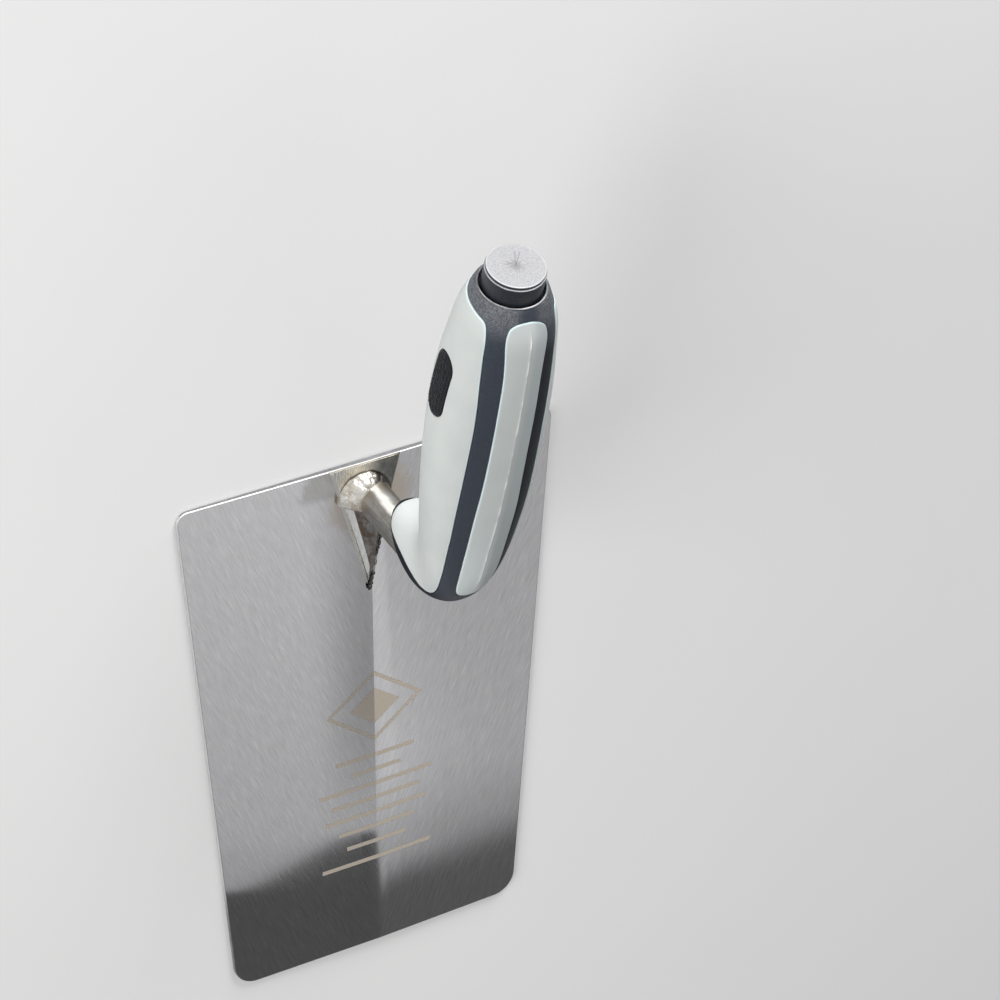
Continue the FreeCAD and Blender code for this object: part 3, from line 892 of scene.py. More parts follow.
def build_tang():
    """The bar's visible length, with slight draw lines and a flare at the root."""
    x_dir = np.array([1.0, 0.0, 0.0])
    forward = np.cross(x_dir, TANG_AXIS)
    angles = np.linspace(0, 2 * math.pi, 96, endpoint=False)[:, None]
    directions = np.cos(angles) * x_dir + np.sin(angles) * forward
    heights = np.linspace(1.2, TANG_END, 75)
    sections = []
    for h in heights:
        flare = 0.30 * math.exp(-max(0.0, h - 3.2) / 1.1)
        radii = []
        for dx, dy, _ in directions:
            wave = 0.035 * noise.noise(Vector((dx * 2.2, dy * 2.2, h * 0.06 + 3.0)))
            wave += 0.02 * noise.noise(Vector((dx * 6.0, dy * 6.0, h * 0.25)))
            radii.append(TANG_RADIUS + wave - 0.02 + flare)
        sections.append(ring_points(TANG_ROOT, directions, radii, TANG_AXIS, h))
    b = Build()
    b.tube(sections, TANG_ROOT + TANG_AXIS * heights[0], TANG_ROOT + TANG_AXIS * TANG_END)
    return finish_mesh(b, "tang_bar")


# Bead section as (radius from the bead's middle, z), from the plate up to the tang.
WELD_PROFILE = [(8.15, 1.45), (8.15, 2.10), (8.12, 2.75), (8.00, 3.20), (7.75, 3.70),
                (7.40, 4.20), (7.00, 4.70), (6.60, 5.15), (6.15, 5.60), (5.75, 6.00),
                (5.35, 6.40), (4.95, 6.80), (4.45, 7.05), (3.6, 7.1)]


def weld_lumps():
    """(x, y, z, size) of lumps in two tiers round the bead, calmer on the left."""
    rng = np.random.RandomState(21)
    lumps = []
    for i in range(24):
        a = 2 * math.pi * (i + rng.uniform(-.3, .3)) / 24
        for radius, z in ((7.6, 3.5), (6.0, 5.4)):
            radius += rng.uniform(-.45, .45)
            calm = 0.45 if math.cos(a) < -0.3 else 1.0
            lumps.append((WELD_X + radius * math.cos(a + rng.uniform(-.1, .1)),
                          WELD_Y + radius * math.sin(a + rng.uniform(-.1, .1)),
                          z + rng.uniform(-.4, .4), calm * rng.uniform(0.25, 0.75)))
    return lumps


def build_weld():
    """A lumpy fillet on the heel side that dies away into the tang towards the toe."""
    centre = np.array([WELD_X, WELD_Y, 0.0])
    profile = smooth_curve([WELD_PROFILE[0], *WELD_PROFILE, WELD_PROFILE[-1]], count=3)
    lumps = weld_lumps()
    tree = point_tree(lumps)
    lump_radius = 1.75
    count = 260

    def tang_centre(z):
        return TANG_ROOT + TANG_AXIS * ((z - TANG_ROOT[2]) / TANG_AXIS[2])

    sections = []
    for radius, z in profile:
        ring = []
        for k in range(count):
            a = 2 * math.pi * k / count
            direction = np.array([math.cos(a), math.sin(a), 0.0])
            full = min(1.0, max(0.0, (math.sin(a - 0.12) + 0.42) / 0.60))
            full = full * full * (3 - 2 * full)
            bead = centre + direction * radius + np.array([0, 0, z])
            buried = tang_centre(z) + direction * (TANG_RADIUS - 0.75)
            outward = unit(direction * 0.75 + np.array([0, 0, 0.65]))
            swell = 0.0
            for _, i, distance in tree.find_n(tuple(bead), 2):
                dome = math.sqrt(max(0.0, 1 - (distance / lump_radius) ** 2))
                swell = max(swell, lumps[i][3] * dome)
            swell += 0.16 * fbm(bead, 0.55)
            if z < 2.2:
                swell *= 0.3
            ring.append((bead + outward * (swell - 0.25)) * full + buried * (1.0 - full))
        sections.append(ring)
    b = Build()
    b.tube(sections, centre + np.array([0, 0, WELD_PROFILE[0][1]]), tang_centre(profile[-1][1]))
    return finish_mesh(b, "weld_bead_ring")


# ---------------------------------------------------------------- gusset and its seams
GUSSET_TIP_Y = HEEL_Y - 37.6
# The gusset's strips from left to right, as (columns, rim value); the rim tells them apart.
LEFT_FLANK, RIDGE_FACE, RIGHT_FLANK = 1.0, 0.35, 0.0
GUSSET_STRIPS = ((12, LEFT_FLANK), (16, RIDGE_FACE), (34, RIGHT_FLANK))


def foot_half(y):
    """Half the width of the foot plate's flat top at a given y."""
    return max(0.0, (FOOT_WIDTH / 2) * (y - HEEL_Y + FOOT_LENGTH) / FOOT_LENGTH - 1.30)


def gusset_corners(y):
    """(x, height above the foot) of the left foot, the shoulder, the ridge and the right foot."""
    half = foot_half(y) + 0.12
    left, right = FOOT_X - half, FOOT_X + half
    shoulder = max(left + 0.18 * half, FOOT_X + 0.02 - 4.3 * max(0.0, (y - 50.0) / 18.0))
    spread = min(1.0, max(0.0, (y - 44.0) / 29.0) * 5)
    ridge = min(FOOT_X + 0.75 * spread, right - 0.3 * half)
    if ridge - shoulder < 0.15 * half:
        ridge = shoulder + 0.15 * half
    from_tip = y - GUSSET_TIP_Y
    low = 1.35 * min(1.0, from_tip / 9.0) ** 0.8 + 0.16
    high = low + 0.35 * min(1.0, from_tip / 6.0) + 4.6 * max(0.0, (y - 47.0) / 26.0) ** 1.15
    return (left, 0.0), (shoulder, low), (ridge, high), (right, 0.0)


def gusset_lump(p, rim, q, f):
    """Surface roughness at share q across a strip and share f towards the tip."""
    if rim == LEFT_FLANK:
        lump = 0.03 * fbm(p * np.array([1.0, 0.3, 1.0]), 0.9, 2)
    elif rim == RIDGE_FACE:
        lump = 0.07 * fbm(p + 4.0, 1.0) * min(1.0, 4 * q * (1 - q) + 0.25)
    else:
        lump = 0.12 * fbm(p + 7.3, 0.8)
        if q > 0.62:
            fade = min(1.0, (q - 0.62) / 0.16)
            lump += fade * (0.50 * max(0.0, fbm(p, 0.95) + 0.12) - 0.10)
    if f > 0.74:
        burr = max(0.0, fbm(p * np.array([1, 1.5, 1]) + 3.1, 0.95, 2))
        lump += 0.55 * burr * (f - 0.74) / 0.26
    return lump


def build_gusset():
    """A faceted web: a smooth left flank, a narrow face up to the ridge, a rough right flank."""
    rows = 170
    sections = []
    for j in range(rows + 1):
        f = j / rows
        y = TANG_Y + (GUSSET_TIP_Y - TANG_Y) * f
        corners = gusset_corners(y)
        row, rims = [], []
        for (x0, z0), (x1, z1), (count, rim) in zip(corners, corners[1:], GUSSET_STRIPS):
            for i in range(count):
                q = i / count
                p = np.array([x0 + (x1 - x0) * q, y, FOOT_TOP + z0 + (z1 - z0) * q])
                lump = gusset_lump(p, rim, q, f)
                sideways = lump * 0.3 if rim == RIGHT_FLANK else -lump * 0.3
                row.append(p + np.array([sideways, 0.0, lump]))
                rims.append(rim if i else max(rim, RIDGE_FACE))
        row.append(np.array([corners[-1][0], y, FOOT_TOP]))
        rims.append(0.0)
        row[0][2] = row[-1][2] = FOOT_TOP - 0.1
        sections.append((row, np.array(rims)))
    b = Build()
    rings = b.loft(sections)
    for a, c in zip(rings, rings[1:]):
        b.faces.append((a[0], c[0], c[-1], a[-1]))
    b.faces.append(tuple(rings[0]))
    b.faces.append(tuple(reversed(rings[-1])))
    return finish_mesh(b, "gusset_web")


def build_seam(side):
    """Left: one thin even run. Right: small overlapping puddles that grow towards the tip."""
    left = side == LEFT

    def seam_end(y):
        return np.array([FOOT_X + side * (foot_half(y) + 0.10), y, FOOT_TOP - 0.05])

    start, end = seam_end(HEEL_Y - 12.2), seam_end(HEEL_Y - (38.0 if left else 41.2))
    along = unit(end - start)
    length = float(np.linalg.norm(end - start))
    across, up = np.array([along[1], -along[0], 0.0]), np.array([0, 0, 1])
    rows, columns = 210, 20
    rng = np.random.RandomState(5 if left else 9)
    puddles = [0.0]
    while puddles[-1] < length:
        puddles.append(puddles[-1] + rng.uniform(0.75, 2.1))
    sizes = [rng.uniform(0.25, 1.0) for _ in puddles]
    wander = [rng.uniform(-0.30, 0.30) for _ in puddles]
    roughness = 0.02 if left else 0.10
    sections = []
    for j in range(rows + 1):
        s = length * j / rows
        k = max(i for i, v in enumerate(puddles) if v <= s)
        span = (puddles[k + 1] - puddles[k]) if k + 1 < len(puddles) else 1.3
        phase = (s - puddles[k]) / span
        if left:
            offset = 0.0
            radius = 0.20 + 0.03 * math.sin(s * 1.3)
        else:
            offset = wander[k] * math.sin(math.pi * phase)
            grow = 1.0 + 0.55 * max(0.0, (s / length - 0.6) / 0.4)
            dome = math.sqrt(max(0.0, 1 - (2 * phase - 1) ** 2))
            radius = (0.22 + 0.42 * sizes[k] * dome) * grow
        radius *= min(1.0, 0.35 + s / 1.5) * min(1.0, 0.3 + (length - s) / 2.0)
        ring = []
        for i in range(columns):
            cos, sin = math.cos(2 * math.pi * i / columns), math.sin(2 * math.pi * i / columns)
            p = (start + along * s + across * (offset + radius * cos)
                 + up * (radius * 0.85 * sin))
            ring.append(p + unit(across * cos + up * sin) * roughness * fbm(p, 1.4, 2))
        sections.append(ring)
    b = Build()
    b.tube(sections, start, end, rim=1.0 if left else 0.0)
    return finish_mesh(b, "seam_weld_left" if left else "seam_weld_right")


# ---------------------------------------------------------------- shader building
class Value:
    """A shader output; arithmetic on it makes math nodes."""

    def __init__(self, tree, socket):
        self.tree, self.socket = tree, socket

    def __add__(self, other):
        return self.tree.math("ADD", self, other)

    def __radd__(self, other):
        return self.tree.math("ADD", other, self)

    def __sub__(self, other):
        return self.tree.math("SUBTRACT", self, other)

    def __rsub__(self, other):
        return self.tree.math("SUBTRACT", other, self)

    def __mul__(self, other):
        return self.tree.math("MULTIPLY", self, other)

    def __truediv__(self, other):
        return self.tree.math("DIVIDE", self, other)

    def __abs__(self):
        return self.tree.math("ABSOLUTE", self)

    def ramp(self, over, to, kind="SMOOTHSTEP"):
        """Maps the span `over` to the span `to`, clamped; `over` may run downwards."""
        return self.tree.value("ShaderNodeMapRange",
                               {0: self, 1: over[0], 2: over[1], 3: to[0], 4: to[1]},
                               interpolation_type=kind, clamp=True)

    def linear(self, over, to):
        return self.ramp(over, to, "LINEAR")

    def rise(self, start, end):
        """0 at start, 1 at end."""
        return self.ramp((start, end), (0.0, 1.0))

    def fall(self, start, end):
        """1 at start, 0 at end."""
        return self.ramp((start, end), (1.0, 0.0))

    def wobble(self, size):
        """Noise turned into an offset about zero."""
        return (self - 0.5) * size

    def noise(self, scale=1.0, detail=2.0, rough=0.5, distortion=0.0):
        return self.tree.value("ShaderNodeTexNoise", {
            "Vector": self, "Scale": scale, "Detail": detail, "Roughness": rough,
            "Distortion": distortion})

    def split(self):
        node = self.tree.node("ShaderNodeSeparateXYZ", {0: self})
        return [Value(self.tree, socket) for socket in node.outputs]

    def bump(self, strength, distance):
        """distance is in metres."""
        return self.tree.value("ShaderNodeBump", {"Height": self, "Strength": strength,
                                                  "Distance": distance})


class Tree:
    """A node tree, emptied and ready to fill."""

    SOCKETS = {"colour": "Base Color", "metallic": "Metallic", "rough": "Roughness",
               "specular": "Specular IOR Level", "normal": "Normal", "tangent": "Tangent",
               "anisotropic": "Anisotropic", "scatter": "Subsurface Weight",
               "scatter_radius": "Subsurface Radius", "scatter_scale": "Subsurface Scale",
               "emission": "Emission Color", "emission_strength": "Emission Strength"}

    def __init__(self, owner):
        owner.use_nodes = True
        self.owner, self.tree = owner, owner.node_tree
        self.tree.nodes.clear()

    def node(self, kind, inputs=None, **props):
        node = self.tree.nodes.new(kind)
        for key, value in props.items():
            setattr(node, key, value)
        for key, value in (inputs or {}).items():
            socket = node.inputs[key]
            if isinstance(value, Value):
                self.tree.links.new(value.socket, socket)
            else:
                if socket.type == "RGBA":
                    value = (*value, 1.0)
                socket.default_value = value
        return node

    def value(self, kind, inputs=None, output=0, **props):
        return Value(self, self.node(kind, inputs, **props).outputs[output])

    def math(self, operation, a, b=0.0):
        return self.value("ShaderNodeMath", {0: a, 1: b, 2: 0.0}, operation=operation)

    def vec(self, x, y, z):
        return self.value("ShaderNodeCombineXYZ", {0: x, 1: y, 2: z})

    def position(self):
        """Object coordinates in mm."""
        metres = self.value("ShaderNodeTexCoord", output="Object")
        return self.value("ShaderNodeVectorMath", {0: metres, "Scale": 1000.0},
                          operation="SCALE")

    def rim(self):
        return self.value("ShaderNodeAttribute", output="Fac", attribute_name="rim")

    def normal_z(self):
        return self.value("ShaderNodeNewGeometry", output="Normal").split()[2]

    def openness(self, distance):
        return self.value("ShaderNodeAmbientOcclusion", {"Distance": distance}, output="AO",
                          samples=4)

    def camera_ray(self):
        return self.value("ShaderNodeLightPath", output="Is Camera Ray")

    def principled(self, **inputs):
        return self.value("ShaderNodeBsdfPrincipled",
                          {self.SOCKETS[key]: value for key, value in inputs.items()})

    def output(self, shader, kind="ShaderNodeOutputMaterial"):
        self.node(kind, {0: shader})
        return self.owner

    def surface(self, **inputs):
        """Finishes a material made of one principled shader."""
        return self.output(self.principled(**inputs))


def new_tree(name):
    return Tree(bpy.data.materials.new(name))


def mix(mask, below, above):
    """Colour above laid over below where mask is 1."""
    return mask.tree.value("ShaderNodeMix", {0: mask, 6: below, 7: above}, output=2,
                           data_type="RGBA", clamp_factor=True)


def peak(a, b):
    return a.tree.math("MAXIMUM", a, b)


def blend(mask, low, high):
    """The number low where mask is 0 and high where it is 1."""
    return mask.tree.math("ADD", low, mask * mask.tree.math("SUBTRACT", high, low))


def pick(mask, low, high):
    """As blend, in one node."""
    return mask.tree.value("ShaderNodeMix", {0: mask, 2: low, 3: high}, data_type="FLOAT")


def length(dx, dy):
    return dx.tree.math("SQRT", dx * dx + dy * dy)


def butt_distance(y, z, direction):
    """Distance from the butt's centre along a direction in the symmetry plane."""
    return (y - BUTT[1]) * direction[1] + (z - BUTT[2]) * direction[2]


# ---------------------------------------------------------------- steel materials
# Etched rules down the blade, as (y, half length).
ETCHED_RULES = ((-15.5, 12.5), (-20.5, 8.0), (-25.5, 18.0), (-30.5, 14.0), (-35.5, 16.0),
                (-40.5, 12.0), (-46.0, 9.5), (-52.0, 17.5))


def etched_mark(x, y):
    """A lozenge above a column of rules."""
    lozenge = abs(x) * (1.0 / 15.5) + abs(y - 1.5) * (1.0 / 12.0)
    mark = peak(lozenge.rise(0.86, 0.88) * lozenge.fall(0.98, 1.0), lozenge.fall(0.50, 0.52))
    for rule_y, half in ETCHED_RULES:
        mark = peak(mark, abs(y - rule_y).fall(0.62, 0.74) * abs(x).fall(half, half + 0.12))
    return mark


def blade_material():
    t = new_tree("brushed_blade_steel")
    v = t.position()
    x, y, z = v.split()
    # brush lines slant at 22 degrees, mirrored across the ridge
    side = t.math("SIGN", x)
    sin, cos = math.sin(math.radians(22.0)), math.cos(math.radians(22.0))
    along = x * side * -sin + y * -cos
    across = x * cos + y * side * -sin
    seed = side * 37.0
    fine = t.vec(across * 4.2, along * 0.17, seed).noise(detail=3.0, rough=0.6)
    medium = t.vec(across * 1.35, along * 0.09, seed).noise()
    chroma = t.vec(across * 0.9, along * 0.2, seed + 11.0).noise()
    colour = mix(fine.rise(0.33, 0.67), (0.56, 0.56, 0.565), (0.71, 0.71, 0.715))
    colour = mix(medium.rise(0.35, 0.65) * 0.35, colour, (0.52, 0.52, 0.53))
    colour = mix(chroma.ramp((0.4, 0.62), to=(0.0, 0.35)), colour, (0.60, 0.595, 0.655))
    # straw heat colour round the weld
    weld = length(x * 1.0, y - (HEEL_Y - 11.5))
    weld = weld + v.noise(scale=0.35).wobble(5.0)
    straw = weld.fall(8.5, 15.0) * 0.55
    colour = mix(straw, colour, (0.50, 0.40, 0.27))
    # the etched mark, on the top face only and slightly broken
    broken = v.noise(scale=2.2, detail=3.0, rough=0.6).ramp((0.25, 0.5), to=(0.72, 1.0))
    etched = etched_mark(x, y) * z.rise(0.9, 1.0) * broken
    colour = mix(etched * 0.92, colour, (0.48, 0.415, 0.335))
    # the left facet loses a little light close to the ridge
    shade = x.ramp((-22.0, -1.0), to=(0.0, 0.50)) * x.fall(-0.05, 0.05)
    shade = shade * y.ramp((-55.0, 8.0), to=(0.05, 1.0))
    colour = mix(shade, colour, (0.10, 0.10, 0.105))
    # plain steel edge, with a painted highlight on the heel's upper corner and along the flanks
    edge = t.rim().rise(0.1, 0.8)
    below_top = RIDGE_THICKNESS - abs(x) * RIDGE_SLOPE - z
    heel = (HEEL_Y - 1.2, HEEL_Y - 0.6)
    corner = below_top.fall(0.36, 0.50) * y.rise(*heel)
    flank = y.ramp((-62.0, -40.0), to=(0.0, 0.55)) * y.fall(*heel)
    painted_highlight = peak(corner, flank) * edge
    plain = mix(fine.rise(0.3, 0.7), (0.36, 0.36, 0.37), (0.52, 0.52, 0.53))
    colour = mix(edge, colour, plain)
    colour = mix(painted_highlight, colour, (0.95, 0.94, 0.93))
    rough = fine.linear((0.3, 0.7), to=(0.028, 0.044)) + etched * 0.30
    rough = rough + edge * 0.25
    relief = fine * 0.6 + medium * 0.9 + etched * -0.6
    normal = relief.bump(strength=0.22, distance=0.0000011)
    # dull halo left of the foot plate
    halo = weld.ramp((18.5, 23.5), to=(0.92, 0.0)) * y.rise(HEEL_Y - 9.5, HEEL_Y - 5.0)
    halo = halo * x.rise(-9.5, -11.0) * (1.0 - edge)
    dull = mix(fine.rise(0.3, 0.7), (0.29, 0.285, 0.275), (0.36, 0.355, 0.345))
    colour = mix(halo, colour, dull)
    # highlights spread across the blade, so the tangent lies across it too
    brushed = t.principled(colour=colour, metallic=1.0, rough=rough, anisotropic=0.97,
                           tangent=t.vec(1.0, 0.0, 0.0), normal=normal)
    marks = peak(peak(painted_highlight, etched), peak(straw, halo))
    soft = t.principled(colour=colour, metallic=1.0 - marks * 0.88,
                        rough=0.34 + etched * 0.3, normal=normal)
    share = 0.045 + peak(straw * 0.75, halo) + (edge * 0.90 + etched * 0.80)
    share = t.math("MINIMUM", share, 0.97)
    return t.output(t.value("ShaderNodeMixShader", {0: share, 1: brushed, 2: soft}))


def foot_material():
    t = new_tree("ground_foot_steel")
    v = t.position()
    x, y, z = v.split()
    streak = t.vec(x * 2.6, y * 0.35, z * 2.0).noise(detail=3.0, rough=0.6)
    blot = v.noise(scale=0.22, detail=3.0, rough=0.6)
    dx, dy = x - WELD_X, y - WELD_Y
    weld = length(dx, dy) + blot.wobble(4.0)
    steel = mix(streak.rise(0.3, 0.7), (0.42, 0.42, 0.41), (0.60, 0.60, 0.58))
    straw = mix(weld.fall(8.5, 13.5), steel, (0.66, 0.60, 0.49))
    dark = mix(blot.rise(0.35, 0.65), (0.13, 0.135, 0.125), (0.22, 0.22, 0.205))
    # straw on the left, dark on the right
    right = (x + blot.wobble(5.0)).rise(-2.5, 3.5)
    colour = mix(right, straw, dark)
    # burnt ring and a near-black line against the bead
    colour = mix(weld.fall(7.6, 9.3) * 0.72, colour, (0.16, 0.12, 0.095))
    gap = length(dx, dy) + blot.wobble(1.1)
    colour = mix(gap.fall(8.15, 8.85) * 0.92, colour, (0.045, 0.038, 0.032))
    # bevels, darker to the right, then the heel face
    bevel = t.rim().rise(0.25, 0.7)
    bevel_colour = mix(x.ramp((-1.5, 2.0), to=(0.0, 0.6)), (0.50, 0.50, 0.49),
                       (0.34, 0.34, 0.34))
    colour = mix(bevel, colour, bevel_colour)
    colour = mix(y.rise(HEEL_Y - 0.20, HEEL_Y - 0.10), colour, (0.45, 0.42, 0.36))
    return t.surface(colour=colour, metallic=0.52 + right * 0.40,
                     rough=streak.linear((0.3, 0.7), to=(0.20, 0.32)) + bevel * 0.08,
                     normal=(streak + blot * 0.8).bump(strength=0.6, distance=0.00001))


def tang_material():
    t = new_tree("drawn_tang_steel")
    v = t.position()
    x, y, z = v.split()
    _, axis_y, axis_z = TANG_AXIS
    along = y * axis_y + z * axis_z
    heelward = y * axis_z + z * -axis_y - (TANG_ROOT[1] * axis_z - TANG_ROOT[2] * axis_y)
    angle = t.math("ARCTAN2", x - TANG_X, heelward)
    draw = t.vec(angle * 9.0, along * 0.10, 0.0).noise(detail=4.0, rough=0.62)
    blot = v.noise(scale=0.28, detail=4.0, rough=0.62, distortion=0.6)
    pit = v.noise(scale=2.6)
    colour = mix(draw.rise(0.3, 0.7), (0.47, 0.455, 0.42), (0.72, 0.71, 0.68))
    colour = mix(blot.rise(0.45, 0.68) * 0.55, colour, (0.42, 0.37, 0.30))
    colour = mix(z.fall(6.5, 11.5) * 0.6, colour, (0.50, 0.41, 0.30))
    # painted reflection in lengthwise bands: a dark band, a bright highlight band and a darker
    # right side
    wavy = angle + blot.wobble(0.5)
    dark = abs(wavy + 0.66).ramp((0.10, 0.38), to=(0.42, 0.0))
    colour = mix(dark, colour, (0.15, 0.14, 0.125))
    painted_highlight = abs(wavy + 0.20).fall(0.10, 0.36)
    colour = mix(painted_highlight * 0.9, colour, (0.93, 0.91, 0.86))
    colour = mix(wavy.ramp((0.25, 0.55), to=(0.0, 0.6)), colour, (0.20, 0.19, 0.175))
    return t.surface(colour=colour, metallic=0.94 - painted_highlight * 0.48,
                     rough=blot.linear((0.3, 0.7), to=(0.34, 0.48)), anisotropic=0.25,
                     normal=(draw * 1.2 + pit * 0.3).bump(strength=0.6, distance=0.00003))


def weld_material():
    t = new_tree("weld_metal")
    v = t.position()
    x, y, _ = v.split()
    blot = v.noise(scale=0.30, detail=4.0, rough=0.6, distortion=0.8)
    grit = v.noise(scale=1.8, detail=3.0, rough=0.6)
    crevice = t.openness(0.0008).fall(0.30, 0.70) * x.ramp((-7.0, -2.5), to=(0.15, 1.0))
    rim = t.rim()
    # dark on the right side and towards the toe, except where the rim marks the left seam
    dark = (x + blot.wobble(6.0)).rise(-1.2, 1.6) * (1.0 - rim)
    tip = (y + blot * 4.0).fall(48.0, 52.0) * (1.0 - rim * 0.5)
    dark = peak(dark, tip)
    colour = mix(blot.rise(0.35, 0.65), (0.80, 0.78, 0.73), (0.54, 0.49, 0.41))
    colour = mix(dark * 0.86, colour, (0.06, 0.062, 0.066))
    colour = mix(crevice * 0.9, colour, (0.03, 0.025, 0.02))
    return t.surface(colour=colour, metallic=0.70 + dark * 0.3,
                     rough=grit.linear((0.3, 0.7), to=(0.22, 0.40)) + crevice * 0.3,
                     normal=(grit * 0.6 + blot * 0.5).bump(strength=0.6, distance=0.00009))


def gusset_material():
    t = new_tree("gusset_weld_metal")
    v = t.position()
    x, y, z = v.split()
    rim = t.rim()
    streak = t.vec(x * 1.6, y * 0.22, z * 1.2).noise(detail=3.0, rough=0.6)
    blot = v.noise(scale=0.33, detail=4.0, rough=0.62, distortion=0.5)
    grit = v.noise(scale=1.9, detail=3.0, rough=0.6)
    crevice = t.openness(0.001).fall(0.4, 0.95)
    # silver left flank, rusty elsewhere
    silver = mix(streak.rise(0.3, 0.7), (0.72, 0.72, 0.72), (0.90, 0.90, 0.89))
    dull = mix(streak.rise(0.3, 0.7), (0.30, 0.29, 0.28), (0.52, 0.51, 0.50))
    rust = mix(blot.rise(0.46, 0.62) * 0.75, dull, (0.23, 0.145, 0.10))
    colour = mix(rim.rise(0.5, 0.9), rust, silver)
    soot = (y + blot * 3.0).fall(47.0, 50.5) * rim.ramp((0.4, 0.9), to=(0.8, 0.3))
    colour = mix(soot, colour, (0.06, 0.05, 0.045))
    colour = mix(crevice * 0.9, colour, (0.02, 0.018, 0.016))
    relief = (grit + streak * 0.8) * rim.ramp((0.4, 0.9), to=(1.0, 0.25))
    return t.surface(colour=colour, metallic=0.95 - rim.rise(0.4, 0.9) * 0.35,
                     rough=grit.linear((0.3, 0.7), to=(0.22, 0.36)) + rim * 0.05,
                     normal=relief.bump(strength=0.7, distance=0.0001))


# ---------------------------------------------------------------- handle materials
def black_material():
    t = new_tree("handle_black_plastic")
    v = t.position()
    x, y, z = v.split()
    grain = v.noise(scale=3.2, detail=3.0, rough=0.65)
    speck = v.noise(scale=5.5)
    wide = v.noise(scale=0.12)
    colour = mix(grain.rise(0.35, 0.68), (0.024, 0.030, 0.042), (0.041, 0.049, 0.066))
    colour = mix(speck.rise(0.62, 0.74) * 0.45, colour, (0.15, 0.155, 0.16))
    # painted highlight on the lip round the cap, where its edge catches the light
    patchy = v.noise(scale=0.22)
    painted_lip_highlight = t.rim().rise(0.3, 0.9) * grain.ramp((0.25, 0.55), to=(0.5, 1.0))
    painted_lip_highlight = painted_lip_highlight * patchy.ramp((0.36, 0.54), to=(0.22, 1.0))
    colour = mix(painted_lip_highlight * 0.9, colour, (0.64, 0.64, 0.65))
    # painted sheen: the shoulder behind the cap is coloured lighter in specks on both sides of
    # the middle
    axial = butt_distance(y, z, BUTT_AXIS)
    painted_shoulder_sheen = axial.rise(-9.5, -2.5) * abs(x + patchy.wobble(2.0)).rise(0.8, 4.5)
    sparkle = v.noise(scale=2.1, detail=3.0, rough=0.7)
    painted_shoulder_sheen = painted_shoulder_sheen * sparkle.ramp((0.36, 0.66), to=(0.15, 0.8))
    colour = mix(painted_shoulder_sheen, colour, (0.17, 0.175, 0.185))
    # painted shade: blacker colour and less specular on the right side, the underside and the low
    # end towards the nose
    painted_shade = x.ramp((2.5, 6.5), to=(0.0, 0.85)) * axial.fall(-15.0, -9.0)
    under = t.normal_z().ramp((0.30, -0.10), to=(0.0, 0.85)) * axial.fall(-15.0, -9.0)
    painted_shade = peak(peak(painted_shade, under), z.ramp((57.0, 46.0), to=(0.0, 0.68)))
    colour = mix(painted_shade, colour, (0.006, 0.008, 0.011))
    return t.surface(colour=colour, specular=0.5 - painted_shade * 0.40,
                     rough=grain.linear((0.3, 0.7), to=(0.40, 0.54)) + wide * 0.06,
                     normal=(grain + speck * 0.4).bump(strength=0.5, distance=0.00006))


def grey_material():
    t = new_tree("grip_grey_rubber")
    v = t.position()
    x, _, z = v.split()
    rim = t.rim()
    soft = v.noise(scale=0.08, detail=3.0)
    fine = v.noise(scale=2.4, detail=3.0, rough=0.6)
    micro = v.noise(scale=7.0)
    colour = mix(soft.rise(0.3, 0.7), (0.492, 0.522, 0.515), (0.530, 0.552, 0.541))
    colour = mix(fine.rise(0.4, 0.7) * 0.10, colour, (0.47, 0.50, 0.50))
    # painted highlight along the panels' rounded edges
    colour = mix(rim.rise(0.15, 0.85) * 0.85, colour, (0.66, 0.80, 0.83))
    # painted light: the guard and the nose, low on the handle, are coloured lighter
    low = z.rise(54.0, 38.0) * (1.0 - rim.rise(0.15, 0.85))
    painted_light_grey = mix(fine.rise(0.35, 0.65), (0.625, 0.660, 0.652), (0.650, 0.680, 0.672))
    colour = mix(low, colour, painted_light_grey)
    # painted shade on the top panel, most of it right of the crease
    facing_up = t.normal_z()
    painted_top_shade = x.rise(-8.5, -7.5) * 0.08 + x.ramp((0.6, 2.4), to=(0.0, 0.23))
    painted_top_shade = painted_top_shade * x.fall(8.0, 9.5) * facing_up.rise(0.0, 0.25)
    # painted light on the left half of the top panel, stronger lower down
    painted_light_left_half = x.rise(-8.5, -7.5) * x.fall(0.6, 2.4) * facing_up.rise(0.0, 0.25)
    colour = mix(painted_light_left_half * z.ramp((76.0, 60.0), to=(0.0, 0.75)), colour, (0.640, 0.690, 0.690))
    colour = mix(painted_top_shade, colour, (0.19, 0.26, 0.28))
    # painted highlight line on the crease, where the rim value is negative
    patchy = v.noise(scale=0.16).ramp((0.40, 0.60), to=(0.25, 1.0))
    colour = mix((rim * -1.0).rise(0.25, 0.95) * patchy, colour, (0.93, 0.93, 0.92))
    return t.surface(colour=colour, rough=micro.linear((0.3, 0.7), to=(0.38, 0.50)),
                     specular=0.45, scatter=0.06, scatter_radius=(0.8, 0.9, 1.0),
                     scatter_scale=0.0015,
                     normal=(micro + fine * 0.5).bump(strength=0.25, distance=0.00003))


def inset_material():
    t = new_tree("inset_black_rubber")
    v = t.position()
    grain = v.noise(scale=4.0, detail=3.0, rough=0.6)
    wear = v.noise(scale=0.5)
    colour = mix(grain.rise(0.3, 0.7), (0.005, 0.006, 0.008), (0.014, 0.015, 0.018))
    colour = mix(wear.rise(0.5, 0.75) * 0.3, colour, (0.03, 0.031, 0.034))
    return t.surface(colour=colour, rough=grain.linear((0.3, 0.7), to=(0.34, 0.5)),
                     specular=0.22, normal=grain.bump(strength=0.4, distance=0.00004))


# Scratches on the cap's face: turn in radians, shift sideways, start and end along the scratch.
SCRATCHES = ((0.45, 0.15, -5.2, 0.4), (-2.45, -0.1, -0.3, 5.4), (1.9, 0.5, 0.5, 3.0),
             (-0.6, 0.2, -3.2, -0.8))


